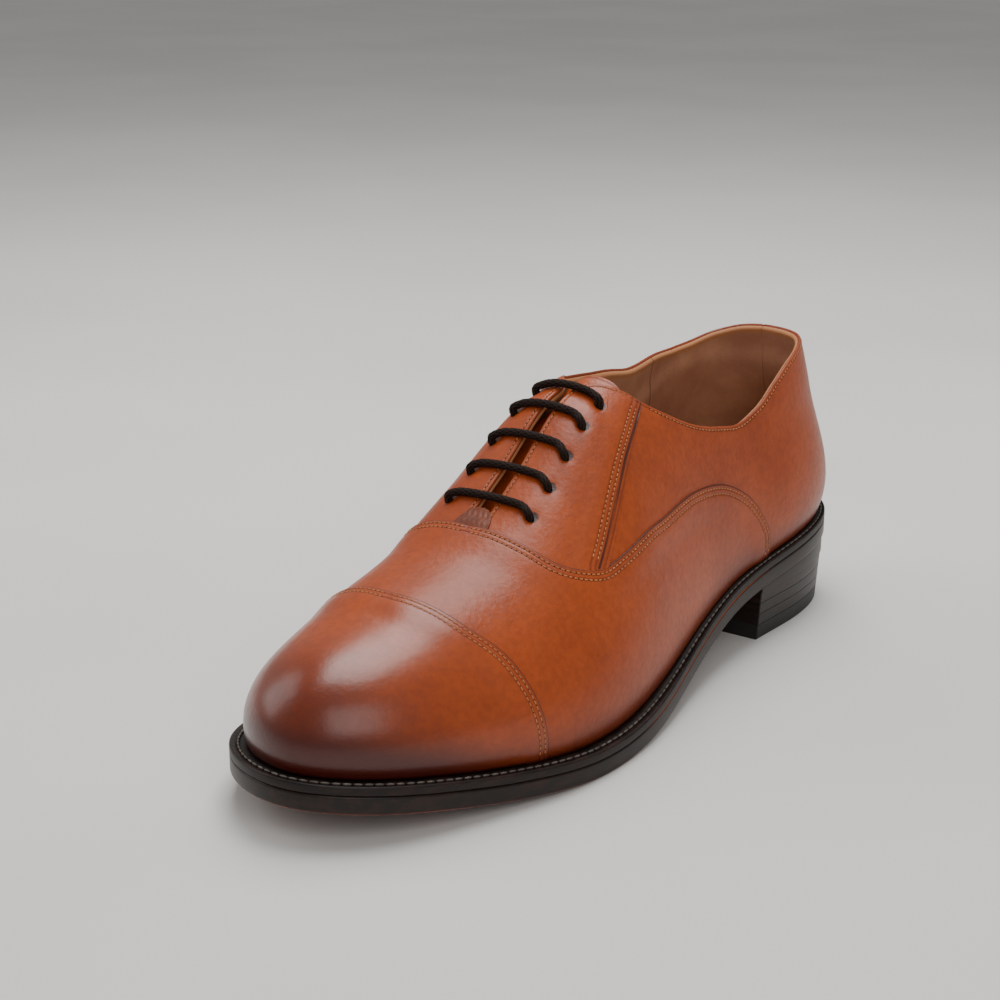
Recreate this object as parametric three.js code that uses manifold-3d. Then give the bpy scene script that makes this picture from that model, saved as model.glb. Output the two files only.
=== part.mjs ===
// Left cap-toe oxford shoe: closed lacing, welted leather sole, stacked leather heel.
// Millimetres, +Z up. The toe points to -Y and the outer side of the foot is +X.
// The heel and the ball of the sole rest on Z = 0; the origin is the footprint centre.
import * as THREE from 'three';
import { mergeVertices } from 'three/addons/utils/BufferGeometryUtils.js';
import Module from 'manifold-3d';

const wasm = await Module();
wasm.setup();

// Finished upper, measured over the leather
const UPPER_LENGTH = 289;
const UPPER_WIDTH = 95;
const INSTEP_DEPTH = 90;
const HEEL_RISE = 26.8;
const TOE_SPRING = 11.3;
// How far the instep is flatter across the laces than a round section
const LACING_FLAT = 1.6;
// Mean run of the outline on one side, which turns rib shares into lengths
const EDGE_RUN = 325;
// Layers of the upper, from the inside of the lining outwards
const GAP = 0.3;
const SEAM = 0.3;
const LINING = 0.9;
const STIFFENER = 0.9;
const LAYER_GAP = 0.6;
const LEATHER = 1.4;
const TONGUE_LEATHER = 1.4;
const TONGUE_LINING = 0.7;
const TONGUE_TIP = 0.436;
const TONGUE_RISE = 3.2;
// Bottom
const WELT_THICK = 3;
const WELT_FORE = 5.5;
const WELT_WAIST = 3.8;
const WELT_HEEL = 3;
const OUTSOLE_THICK = 5.9;
const FEATHER_IN = 5;
const INSOLE_THICK = 2.5;
const SOCK_THICK = 1;
const SHANK_LENGTH = 104;
const SHANK_WIDTH = 13;
const SHANK_THICK = 1.3;
const SHANK_SIDE = 2;
// Heel
const BREAST_AT = 0.282;
const TOP_PIECE = 5.5;
const LIFTS = 3;
const WEDGE_FRONT = 1.6;
const HEEL_TAPER = 0.07;
// Lacing
const LACE_R = 1.4;
const HOLE_R = 2.3;
const HOLE_RIBS = [0.494, 0.528, 0.561, 0.594, 0.627];
const HOLE_PHI = 72;
const AGLET_LENGTH = 10;

const HALF_SEAM = SEAM / 2 / EDGE_RUN;
const SOLE_STACK = WELT_THICK + GAP + OUTSOLE_THICK;
const UPPER_IN = LINING + LAYER_GAP;
const UPPER_OUT = UPPER_IN + LEATHER;
const LINING_DROP = STIFFENER + LAYER_GAP;
const OUTER = 1;
const INNER = -1;
const RAD = Math.PI / 180;

// Ribs run from the feather edge over the upper to the ridge. Rib 0 is the centre of the
// heel back and rib 1 the toe tip; layers share these stations so they nest.
const RIBS = [
  0, 0.018, 0.036, 0.055, 0.075, 0.1, 0.13, 0.165, 0.21, 0.25, 0.29, 0.33, 0.37, 0.41, 0.45,
  0.5, 0.55, 0.6, 0.64, 0.67, 0.7, 0.737, 0.77, 0.8, 0.828, 0.853, 0.878, 0.903, 0.928, 0.952, 0.976, 1,
];

// Outline of the upper at the feather edge, heel back to toe tip, as shares of width and length
const OUTLINE = {
  [OUTER]: [
    [0, 0], [0.253, 0.029], [0.368, 0.114], [0.374, 0.232], [0.384, 0.353], [0.437, 0.474],
    [0.5, 0.606], [0.489, 0.73], [0.374, 0.848], [0.221, 0.948], [-0.021, 1],
  ],
  [INNER]: [
    [0, 0], [-0.242, 0.031], [-0.321, 0.118], [-0.289, 0.232], [-0.279, 0.363], [-0.379, 0.502],
    [-0.479, 0.626], [-0.5, 0.73], [-0.437, 0.848], [-0.295, 0.955], [-0.021, 1],
  ],
};

// Smooth non-overshooting curve through [position, value] pairs
function profile(pairs) {
  const x = pairs.map((p) => p[0]);
  const y = pairs.map((p) => p[1]);
  const n = x.length;
  const slope = [];
  for (let i = 0; i < n - 1; i += 1) {
    slope.push((y[i + 1] - y[i]) / (x[i + 1] - x[i]));
  }
  const m = [slope[0]];
  for (let i = 1; i < n - 1; i += 1) {
    const p = slope[i - 1] * slope[i];
    m.push(p <= 0 ? 0 : (2 * p) / (slope[i - 1] + slope[i]));
  }
  m.push(slope[n - 2]);
  return (at) => {
    const c = Math.min(Math.max(at, x[0]), x[n - 1]);
    let i = 0;
    while (i < n - 2 && c > x[i + 1]) {
      i += 1;
    }
    const h = x[i + 1] - x[i];
    const t = (c - x[i]) / h;
    const s = 1 - t;
    const hermite = (1 + 2 * t) * s * s * y[i] + t * s * s * h * m[i];
    return hermite + t * t * (3 - 2 * t) * y[i + 1] - t * t * s * h * m[i + 1];
  };
}

const heelShare = profile([
  [-0.04, 1.034], [0.156, 0.866], [0.294, 0.7], [0.398, 0.455], [0.502, 0.187], [0.606, 0.03], [0.66, 0], [1, 0],
]);
const toeShare = profile([[0, 0], [0.68, 0], [0.813, 0.265], [0.91, 0.637], [1, 1], [1.04, 1.16]]);
const ridgeShare = profile([
  [0, 1.318], [0.156, 1.121], [0.294, 1.017], [0.398, 1.024], [0.502, 1.003], [0.606, 0.82],
  [0.709, 0.622], [0.813, 0.508], [0.91, 0.369], [1, 0.313],
]);
const ridgeX = profile([[0, -0.017], [0.294, -0.027], [0.606, -0.034], [0.813, -0.05], [1, -0.053]]);
const roundness = profile([[0, 1.6], [0.156, 1.7], [0.35, 1.8], [0.606, 2], [1, 2]]);
const fullness = {
  [OUTER]: profile([[0, 2.4], [0.156, 2.3], [0.35, 1.95], [0.502, 2], [0.709, 2.2], [1, 2.3]]),
  [INNER]: profile([[0, 2.4], [0.156, 2.4], [0.35, 1.95], [0.502, 2.25], [0.709, 2.4], [1, 2.3]]),
};
const swell = {
  [OUTER]: profile([[0, 3.8], [0.156, 2.6], [0.294, 1.1], [0.502, 1.5], [0.709, 2], [1, 2.4]]),
  [INNER]: profile([[0, 3.8], [0.156, 1.5], [0.294, -1], [0.398, -3], [0.502, -2], [0.709, 1], [1, 2.4]]),
};
const weltWidth = profile([[0, WELT_HEEL], [0.3, WELT_HEEL], [0.45, WELT_WAIST], [0.62, WELT_FORE], [1, WELT_FORE]]);
const BULGE_HEIGHT = 48;

function feather(v) {
  return SOLE_STACK + HEEL_RISE * heelShare(v) + TOE_SPRING * toeShare(v);
}

// Cubic spline through points by chord length, leaving both ends straight across the shoe
function spline(points, side) {
  const pts = points.map(([px, py]) => [px * UPPER_WIDTH, py * UPPER_LENGTH]);
  const n = pts.length;
  const d = [0];
  for (let i = 1; i < n; i += 1) {
    d.push(d[i - 1] + Math.hypot(pts[i][0] - pts[i - 1][0], pts[i][1] - pts[i - 1][1]));
  }
  const tangents = [0, 1].map((k) => {
    const ends = k === 0 ? [side, -side] : [0, 0];
    const c = [0];
    const r = [ends[0]];
    for (let i = 1; i < n - 1; i += 1) {
      const h0 = d[i] - d[i - 1];
      const h1 = d[i + 1] - d[i];
      const a = (pts[i][k] - pts[i - 1][k]) / h0;
      const b = (pts[i + 1][k] - pts[i][k]) / h1;
      const w = 2 * (h0 + h1) - h1 * c[i - 1];
      c.push(h0 / w);
      r.push((3 * (a * h1 + b * h0) - h1 * r[i - 1]) / w);
    }
    const m = new Array(n);
    m[n - 1] = ends[1];
    for (let i = n - 2; i >= 0; i -= 1) {
      m[i] = i === 0 ? ends[0] : r[i] - c[i] * m[i + 1];
    }
    return m;
  });
  return (share) => {
    const at = share * d[n - 1];
    let i = 0;
    while (i < n - 2 && at > d[i + 1]) {
      i += 1;
    }
    const h = d[i + 1] - d[i];
    const t = (at - d[i]) / h;
    const s = 1 - t;
    return [0, 1].map((k) => {
      const m = tangents[k];
      const head = (1 + 2 * t) * s * s * pts[i][k] + t * s * s * h * m[i];
      return head + t * t * (3 - 2 * t) * pts[i + 1][k] - t * t * s * h * m[i + 1];
    });
  };
}

const outerEdge = spline(OUTLINE[OUTER], 1);
const innerEdge = spline(OUTLINE[INNER], -1);

// Feather point of a rib; both sides of one rib lie at the same distance from the heel
function edgePoint(side, u) {
  const p = outerEdge(u);
  if (side === OUTER || u <= 0 || u >= 1) {
    return p;
  }
  let lo = 0;
  let hi = 1;
  for (let k = 0; k < 44; k += 1) {
    const mid = (lo + hi) / 2;
    if (innerEdge(mid)[1] < p[1]) {
      lo = mid;
    } else {
      hi = mid;
    }
  }
  return innerEdge((lo + hi) / 2);
}

const ribCache = new Map();
function rib(side, u) {
  const key = `${side} ${u.toFixed(7)}`;
  if (ribCache.has(key)) {
    return ribCache.get(key);
  }
  const e = 2e-4;
  const [x, y] = edgePoint(side, u);
  let normal = [0, u <= 0 ? -1 : 1];
  if (u > e && u < 1 - e) {
    const a = edgePoint(side, u - e);
    const b = edgePoint(side, u + e);
    const len = Math.hypot(b[0] - a[0], b[1] - a[1]);
    normal = [(side * (b[1] - a[1])) / len, (-side * (b[0] - a[0])) / len];
  }
  const softplus = (q) => 14 * Math.log1p(Math.exp(q / 14));
  const yc = 32 + softplus(y - 32) - softplus(y - (UPPER_LENGTH - 32));
  const v = y / UPPER_LENGTH;
  const vc = yc / UPPER_LENGTH;
  const out = {
    x,
    y,
    normal,
    cx: ridgeX(vc) * UPPER_WIDTH,
    cy: yc,
    ridge: feather(vc) + INSTEP_DEPTH * ridgeShare(vc),
    n1: fullness[side](v),
    n2: roundness(v),
    swell: swell[side](v),
  };
  ribCache.set(key, out);
  return out;
}

// Point of the upper: phi runs from 0 at the feather edge to 90 on the ridge, and layer is the
// height above the inside of the lining
function upperPoint(side, u, phi, layer) {
  const r = rib(side, u);
  const off = layer - UPPER_OUT;
  const rho = Math.cos(phi * RAD) ** (2 / r.n1);
  const zeta = Math.sin(phi * RAD) ** (2 / r.n2);
  const foot = feather((r.y + r.normal[1] * off) / UPPER_LENGTH) + GAP;
  const z = foot + (r.ridge + off - foot) * zeta;
  const dx = r.x + r.normal[0] * off - r.cx;
  const dy = r.y + r.normal[1] * off - r.cy;
  const reach = Math.hypot(dx, dy);
  const h = Math.min(Math.max((z - foot) / BULGE_HEIGHT, 0), 1);
  const bulge = r.swell * 6.75 * h * (1 - h) ** 2 * Math.sqrt(rho);
  const len = reach * rho + bulge;
  const v = r.y / UPPER_LENGTH;
  const flat = LACING_FLAT * smooth(66, 90, phi) * smooth(0.26, 0.34, v) * smooth(0.72, 0.64, v);
  const y = UPPER_LENGTH / 2 - r.cy - (dy / reach) * len;
  return new THREE.Vector3(r.cx + (dx / reach) * len, y, z - flat);
}

// Point on the bottom layers: outline at one layer, height given by the place along the shoe
function edgeAt(side, u, layer, height) {
  const r = rib(side, u);
  const off = layer - UPPER_OUT;
  const y = r.y + r.normal[1] * off;
  return new THREE.Vector3(r.x + r.normal[0] * off, UPPER_LENGTH / 2 - y, height(y / UPPER_LENGTH));
}

function mix(a, b, t) {
  return a + (b - a) * t;
}

function smooth(lo, hi, x) {
  const t = Math.min(Math.max((x - lo) / (hi - lo), 0), 1);
  return t * t * (3 - 2 * t);
}

function steps(n) {
  return Array.from({ length: n + 1 }, (_, i) => i / n);
}

function solid(triangles) {
  const g = new THREE.BufferGeometry();
  const flat = [];
  for (const t of triangles) {
    const area = new THREE.Triangle(...t).getArea();
    if (area > 1e-5) {
      t.forEach((p) => flat.push(p.x, p.y, p.z));
    }
  }
  g.setAttribute('position', new THREE.Float32BufferAttribute(flat, 3));
  return g;
}

// Closed skin between two offsets of a patchwork of grids. A grid is
// { side, rows: [[ [u, phi], ... ], ...] }; grids that share points are joined there.
function skin(grids, inner, outer) {
  const index = new Map();
  const points = [];
  const faces = [];
  const id = (side, u, phi) => {
    const p = upperPoint(side, u, phi, 0);
    const key = p.toArray().map((c) => Math.round(c * 500)).join(' ');
    if (!index.has(key)) {
      index.set(key, points.length);
      points.push([side, u, phi]);
    }
    return index.get(key);
  };
  for (const { side, rows } of grids) {
    const ids = rows.map((row) => row.map(([u, phi]) => id(side, u, phi)));
    for (let i = 0; i < ids.length - 1; i += 1) {
      for (let j = 0; j < ids[i].length - 1; j += 1) {
        const q = [ids[i][j], ids[i + 1][j], ids[i + 1][j + 1], ids[i][j + 1]];
        for (const t of [[q[0], q[1], q[2]], [q[0], q[2], q[3]]]) {
          if (new Set(t).size === 3) {
            faces.push(side === OUTER ? t : [t[0], t[2], t[1]]);
          }
        }
      }
    }
  }
  const value = (f, p) => (typeof f === 'function' ? f(...p) : f);
  const low = points.map((p) => upperPoint(...p, value(inner, p)));
  const high = points.map((p) => upperPoint(...p, value(outer, p)));
  const open = new Map();
  for (const [a, b, c] of faces) {
    for (const [p, q] of [[a, b], [b, c], [c, a]]) {
      const back = `${q} ${p}`;
      if (open.has(back)) {
        open.delete(back);
      } else {
        open.set(`${p} ${q}`, [p, q]);
      }
    }
  }
  const triangles = [];
  for (const [a, b, c] of faces) {
    triangles.push([high[a], high[b], high[c]], [low[a], low[c], low[b]]);
  }
  for (const [p, q] of open.values()) {
    triangles.push([high[p], low[p], low[q]], [high[p], low[q], high[q]]);
  }
  return facingOut(solid(triangles));
}

// Turn a closed solid inside out when its enclosed volume is negative
function facingOut(g) {
  const p = g.attributes.position;
  const a = new THREE.Vector3();
  const b = new THREE.Vector3();
  const c = new THREE.Vector3();
  let volume = 0;
  for (let i = 0; i < p.count; i += 3) {
    a.fromBufferAttribute(p, i);
    b.fromBufferAttribute(p, i + 1);
    c.fromBufferAttribute(p, i + 2);
    volume += a.dot(b.cross(c));
  }
  if (volume < 0) {
    for (let i = 0; i < p.count; i += 3) {
      a.fromBufferAttribute(p, i + 1);
      b.fromBufferAttribute(p, i + 2);
      p.setXYZ(i + 1, b.x, b.y, b.z);
      p.setXYZ(i + 2, a.x, a.y, a.z);
    }
  }
  return g;
}

// Slab across the shoe between two height functions, with a tapered edge
function slab(ribs, offTop, offLow, top, low) {
  const t = [];
  const ring = (off, z) => ribs.map((u) => [OUTER, INNER].map((s) => edgeAt(s, u, off(u), z)));
  const up = ring(offTop, top);
  const down = ring(offLow, low);
  for (let i = 0; i < ribs.length - 1; i += 1) {
    const [a, b] = up[i];
    const [c, d] = up[i + 1];
    const [e, f] = down[i];
    const [g, h] = down[i + 1];
    t.push([a, b, d], [a, d, c], [e, h, f], [e, g, h]);
    t.push([a, c, g], [a, g, e], [b, f, h], [b, h, d]);
  }
  const last = ribs.length - 1;
  t.push([up[0][0], down[0][0], down[0][1]], [up[0][0], down[0][1], up[0][1]]);
  t.push([up[last][0], down[last][1], down[last][0]], [up[last][0], up[last][1], down[last][1]]);
  return facingOut(solid(t));
}

// Ring following the feather edge all round the shoe
function band(offIn, offOut, low, top) {
  const loop = RIBS.map((u) => [OUTER, u]).concat(RIBS.slice(1, -1).reverse().map((u) => [INNER, u]));
  const section = loop.map(([s, u]) => [
    edgeAt(s, u, offIn(u), low), edgeAt(s, u, offOut(u), low),
    edgeAt(s, u, offOut(u), top), edgeAt(s, u, offIn(u), top),
  ]);
  const t = [];
  for (let i = 0; i < section.length; i += 1) {
    const a = section[i];
    const b = section[(i + 1) % section.length];
    for (let k = 0; k < 4; k += 1) {
      const n = (k + 1) % 4;
      t.push([a[k], b[k], b[n]], [a[k], b[n], a[n]]);
    }
  }
  return facingOut(solid(t));
}

function toManifold(geometry) {
  const bare = new THREE.BufferGeometry();
  bare.setAttribute('position', geometry.attributes.position.clone());
  if (geometry.index) {
    bare.setIndex(geometry.index.clone());
  }
  const g = mergeVertices(bare, 1e-4);
  return new wasm.Manifold(new wasm.Mesh({
    numProp: 3,
    vertProperties: new Float32Array(g.attributes.position.array),
    triVerts: new Uint32Array(g.index.array),
  }));
}

function subtract(geometry, tools) {
  let body = toManifold(geometry);
  for (const tool of tools) {
    body = body.subtract(toManifold(tool));
  }
  const mesh = body.getMesh();
  const g = new THREE.BufferGeometry();
  g.setAttribute('position', new THREE.Float32BufferAttribute(mesh.vertProperties, 3));
  g.setIndex(new THREE.Uint32BufferAttribute(mesh.triVerts, 1));
  return g;
}

// Line in (rib, phi) through the given points, sampled evenly
function seamLine(points) {
  const c = new THREE.CatmullRomCurve3(
    points.map(([u, phi]) => new THREE.Vector3(u * EDGE_RUN, phi, 0)), false, 'centripetal',
  );
  c.arcLengthDivisions = 400;
  return (t) => {
    const p = c.getPointAt(Math.min(Math.max(t, 0), 1));
    return [p.x / EDGE_RUN, p.y];
  };
}

// Share of a seam line where it reaches a rib
function shareAt(line, u) {
  let lo = 0;
  let hi = 1;
  for (let k = 0; k < 50; k += 1) {
    const t = (lo + hi) / 2;
    if (line(t)[0] < u) {
      lo = t;
    } else {
      hi = t;
    }
  }
  return lo;
}

const capSeam = profile([[0, 0.737], [20, 0.742], [40, 0.752], [60, 0.773], [90, 0.788]]);
const toplines = {
  [OUTER]: profile([
    [0, 44.5], [0.08, 44.6], [0.16, 43.4], [0.21, 41], [0.25, 38.4], [0.285, 37.8], [0.333, 40.7],
    [0.367, 44.4], [0.4, 50.1], [0.442, 61.5], [0.458, 71], [0.474, 82], [0.492, 87.5], [1, 87.5],
  ]),
  [INNER]: profile([
    [0, 44.5], [0.033, 44], [0.08, 42.3], [0.133, 40.8], [0.167, 41.4], [0.233, 45.1], [0.3, 49.7],
    [0.367, 57.1], [0.4, 61], [0.442, 68], [0.458, 74.5], [0.474, 82.5], [0.492, 87.5], [1, 87.5],
  ]),
};
const WING_START = 0.26;
const FACE_EDGE = 87.5;
const THROAT = 0.657;
const SIDE_FOOT = [0.608, 42.4];
const vampEdge = seamLine([
  [WING_START, 0], [0.264, 8], [0.281, 15], [0.3, 20.2], [0.333, 25.5], [0.362, 28.5], [0.408, 31.3],
  [0.492, 33.8], [0.542, 36], [0.579, 39], SIDE_FOOT, [0.642, 54], [0.654, 68], [THROAT, FACE_EDGE],
]);
const footShare = shareAt(vampEdge, SIDE_FOOT[0]);
const wingSeam = (t) => vampEdge(t * footShare);
const throatSeam = (t) => vampEdge(mix(footShare, 1, t));
const WING_STEPS = 11;
const THROAT_STEPS = 6;
const RIDGE_STEPS = 5;
const ROWS = 8;

function sideTop(side) {
  return [0.442, toplines[side](0.442)];
}

// Pull grid parameters in from the seams so neighbouring pieces stay apart
function inset(t, size, atStart = true, atEnd = true) {
  const e = SEAM / 2 / size;
  return mix(atStart ? e : 0, atEnd ? 1 - e : 1, t);
}

function toeCap() {
  const stations = RIBS.filter((u) => u >= 0.737).map((u) => (u - 0.737) / 0.263);
  return [OUTER, INNER].map((side) => ({
    side,
    rows: stations.map((t) => steps(ROWS).map((r) => {
      const phi = r * 90;
      return [mix(capSeam(phi) + HALF_SEAM, 1, t), phi];
    })),
  }));
}

function vampGrid(side) {
  const columns = [];
  for (const t of steps(WING_STEPS)) {
    const q = wingSeam(t);
    columns.push([Math.max(q[0], WING_START), q]);
  }
  for (const t of steps(THROAT_STEPS).slice(1)) {
    columns.push([mix(SIDE_FOOT[0], 0.684, t), throatSeam(t)]);
  }
  columns.push([0.686, [THROAT, 90]]);
  const rows = columns.map(([foot, q]) => {
    const drop = SEAM / 2;
    const top = q[1] >= 90 ? 90 : Math.max(q[1] - drop, 0);
    return steps(ROWS).map((r) => [mix(foot, q[0], r ** 1.3) + HALF_SEAM, r * top]);
  });
  for (const t of steps(RIDGE_STEPS).slice(1)) {
    rows.push(steps(ROWS).map((r) => {
      const phi = r * 90;
      const back = mix(0.686, THROAT, r ** 1.3) + HALF_SEAM;
      return [mix(back, capSeam(phi) - HALF_SEAM, t), phi];
    }));
  }
  return { side, rows };
}

function quarterGrid(side) {
  const heelSteps = RIBS.filter((u) => u < WING_START).concat([WING_START]);
  const foot = heelSteps.map((u) => [u, 0]).concat(steps(WING_STEPS).slice(1).map((t) => wingSeam(t)));
  const reach = (i) => foot[i][0] / SIDE_FOOT[0];
  const top = sideTop(side);
  return {
    side,
    rows: foot.map(([u, phi], i) => steps(6).map((r) => {
      const lift = phi > 0 ? SEAM / 2 : 0;
      const lean = smooth(0.35, 1, reach(i)) * (SIDE_FOOT[0] - top[0]);
      const uu = Math.max(u - lean * r - HALF_SEAM * smooth(0.9, 1, reach(i)), 0);
      const head = toplines[side](u - lean);
      return [i === 0 ? HALF_SEAM : uu, mix(phi + lift, head, r)];
    })),
  };
}

function facingGrid(side) {
  const top = sideTop(side);
  const head = (a) => {
    const u = mix(top[0], 0.492, a);
    return [u, toplines[side](u)];
  };
  return {
    side,
    rows: steps(THROAT_STEPS).map((a) => steps(8).map((r) => {
      const b = throatSeam(inset(a, 45, true, false));
      const h = head(a);
      const edge = HALF_SEAM * (1 - 2.6 * a);
      return [mix(b[0], h[0], r) + edge, mix(b[1] + SEAM / 2 * (1 - r), h[1], r)];
    })),
  };
}

// The lining dips inwards where a stiffener sits between it and the outside
function liningDip(side, u, phi) {
  const heel = smooth(0.3, 0.255, u) * smooth(40, 35.5, phi);
  const toe = smooth(0.79, 0.815, u);
  const hollow = 0.1 * Math.min(rib(side, u).swell, 0);
  return hollow - LINING_DROP * Math.max(heel, toe);
}

const LINING_ROWS = [0, 9, 18, 27, 35.5, 40, 47, 54, 62, 70, 78, FACE_EDGE];
function quarterLining(side) {
  const ribs = RIBS.filter((u) => u < 0.62).concat([0.475, 0.625, 0.65]);
  ribs.sort((a, b) => a - b);
  return {
    side,
    rows: ribs.map((u) => LINING_ROWS.map((phi) => [
      Math.max(u, HALF_SEAM), Math.min(phi, toplines[side](u)),
    ])),
  };
}

function holeAxis(side, u) {
  const p = upperPoint(side, u, HOLE_PHI, 1);
  const q = upperPoint(side, u, HOLE_PHI, 2);
  const du = upperPoint(side, u + 0.004, HOLE_PHI, 1).sub(p);
  const dphi = upperPoint(side, u, HOLE_PHI + 1, 1).sub(p);
  const n = du.cross(dphi).normalize();
  if (n.dot(q.sub(p)) < 0) {
    n.negate();
  }
  return { p, n };
}

function holeCutter(side, u) {
  const { p, n } = holeAxis(side, u);
  const g = new THREE.CylinderGeometry(HOLE_R, HOLE_R, 12, 14);
  g.applyQuaternion(new THREE.Quaternion().setFromUnitVectors(new THREE.Vector3(0, 1, 0), n));
  g.translate(p.x, p.y, p.z);
  return g;
}

// Point above (or below) the facing, measured along the hole direction
function overHole(side, u, lift) {
  const { p, n } = holeAxis(side, u);
  return p.clone().addScaledVector(n, lift - 1);
}

const BAR_LIFT = UPPER_OUT + 2 * GAP + LACE_R;
const RUN_LIFT = -(GAP + 0.8 + LACE_R);

function towards(a, b, d) {
  return a.clone().add(b.clone().sub(a).normalize().multiplyScalar(d));
}

// Straight-bar lacing held by the shoe: one cord, five bars, runs hidden under the facings
function laceRoute() {
  const [h5, h4, h3, h2, h1] = HOLE_RIBS;
  const under = (side, u, phi) => upperPoint(side, u, phi, RUN_LIFT - smooth(64, 58, phi));
  const knots = [];
  const bar = (from, u) => {
    const to = -from;
    const a = overHole(from, u, BAR_LIFT);
    const b = overHole(to, u, BAR_LIFT);
    const crown = [77, 83, 88].map((phi) => upperPoint(from, u, phi, BAR_LIFT));
    crown.push(...[88, 83, 77].map((phi) => upperPoint(to, u, phi, BAR_LIFT)));
    knots.push(overHole(from, u, -0.1), overHole(from, u, 2.1), towards(a, crown[0], 1.3), ...crown);
    knots.push(towards(b, crown[5], 1.3), overHole(to, u, 2.1), overHole(to, u, -0.1));
  };
  const run = (side, from, to) => {
    const a = overHole(side, from, RUN_LIFT);
    const b = overHole(side, to, RUN_LIFT);
    knots.push(towards(a, b, 1.3), under(side, (from + to) / 2, HOLE_PHI), towards(b, a, 1.3));
  };
  knots.push(under(INNER, 0.575, 57), under(INNER, 0.55, 58), under(INNER, 0.525, 60));
  knots.push(under(INNER, 0.507, 64));
  knots.push(towards(overHole(INNER, h5, RUN_LIFT), under(INNER, 0.507, 64), 1.3));
  bar(INNER, h5);
  run(OUTER, h5, h4);
  bar(OUTER, h4);
  run(INNER, h4, h3);
  bar(INNER, h3);
  run(OUTER, h3, h2);
  bar(OUTER, h2);
  run(INNER, h2, h1);
  bar(INNER, h1);
  knots.push(towards(overHole(OUTER, h1, RUN_LIFT), under(OUTER, 0.614, 64), 1.3));
  knots.push(under(OUTER, 0.614, 64), under(OUTER, 0.596, 60), under(OUTER, 0.57, 58));
  knots.push(under(OUTER, 0.545, 57));
  return new THREE.CatmullRomCurve3(knots, false, 'centripetal');
}

function cord(curve, radius, sides, segments) {
  const ring = new THREE.Shape();
  for (let k = 0; k < sides; k += 1) {
    const a = (2 * Math.PI * k) / sides;
    ring[k === 0 ? 'moveTo' : 'lineTo'](radius * Math.cos(a), radius * Math.sin(a));
  }
  ring.closePath();
  const g = new THREE.ExtrudeGeometry(ring, { steps: segments, extrudePath: curve, curveSegments: 1 });
  return g;
}

function tongueOffset(base) {
  const drop = tongueIn + 0.5 + TONGUE_LEATHER;
  return (side, u) => base + TONGUE_RISE * smooth(0.487, 0.443, u) - drop * smooth(0.652, 0.676, u);
}

const TONGUE_RIBS = [0.448, 0.462, 0.48, 0.51, 0.54, 0.57, 0.6, 0.63, 0.652, 0.66, 0.668, 0.676];
function tongueGrid(trim) {
  const end = 0.695 - trim / EDGE_RUN;
  const tip = TONGUE_TIP + trim / EDGE_RUN;
  const across = profile([[0, 50], [0.25, 52], [0.75, 63], [1, 66]]);
  return [OUTER, INNER].map((side) => ({
    side,
    rows: [tip, ...TONGUE_RIBS, end].map((u) => steps(5).map((r) => {
      const t = (u - TONGUE_TIP) / (0.695 - TONGUE_TIP);
      const edge = across(t) + trim;
      const round = 0.02 * (1 - smooth(0, 0.12, t)) * (1 - r) ** 2;
      return [u + round, mix(edge, 90, r)];
    })),
  }));
}

function aglet(at, before) {
  const dir = at.clone().sub(before).normalize();
  const g = new THREE.CylinderGeometry(LACE_R, LACE_R * 0.8, AGLET_LENGTH, 10);
  g.applyQuaternion(new THREE.Quaternion().setFromUnitVectors(new THREE.Vector3(0, -1, 0), dir));
  const c = at.clone().addScaledVector(dir, GAP + AGLET_LENGTH / 2);
  g.translate(c.x, c.y, c.z);
  return g;
}

const shoe = new THREE.Group();
shoe.name = 'leather_oxford_shoe';

function add(name, geometry, color, roughness, metalness = 0) {
  const bare = new THREE.BufferGeometry();
  bare.setAttribute('position', geometry.attributes.position.clone());
  if (geometry.index) {
    bare.setIndex(geometry.index.clone());
  }
  const mesh = new THREE.Mesh(bare, new THREE.MeshStandardMaterial({ color, roughness, metalness }));
  mesh.name = name;
  shoe.add(mesh);
  return mesh;
}

const TAN = '#b0582a';
const TAN_DARK = '#7d3418';
const CREAM = '#b48a63';
const EDGE = '#21130d';
const SOLE = '#5a2413';
const STACK = '#2a1a12';
const LACE = '#2b1c14';

// Upper leather
add('toe_cap', skin(toeCap(), UPPER_IN, UPPER_OUT), TAN, 0.32);
add('vamp', skin([OUTER, INNER].map(vampGrid), UPPER_IN, UPPER_OUT), TAN, 0.38);
const SIDE_NAME = { [OUTER]: 'lateral', [INNER]: 'medial' };
for (const side of [OUTER, INNER]) {
  const cutters = HOLE_RIBS.map((u) => holeCutter(side, u));
  const facing = skin([facingGrid(side)], UPPER_IN, UPPER_OUT);
  add(`facing_${SIDE_NAME[side]}`, subtract(facing, cutters), TAN, 0.38);
  add(`quarter_${SIDE_NAME[side]}`, skin([quarterGrid(side)], UPPER_IN, UPPER_OUT), TAN, 0.38);
  const lining = skin([quarterLining(side)], liningDip, (...p) => liningDip(...p) + LINING);
  add(`quarter_lining_${SIDE_NAME[side]}`, subtract(lining, cutters), CREAM, 0.7);
}
const TAB_HALF = 6.5;
const tabAt = (side) => ({
  side,
  rows: steps(5).map((t) => steps(4).map((r) => {
    const half = Math.sqrt(Math.max(1 - (1 - t) ** 2, 0));
    return [mix(0.6365, 0.6545, t), mix(90 - TAB_HALF * half, 90, r)];
  })),
});
add('throat_tab', skin([OUTER, INNER].map(tabAt), UPPER_OUT + GAP, UPPER_OUT + GAP + 1), TAN_DARK, 0.6);

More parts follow.
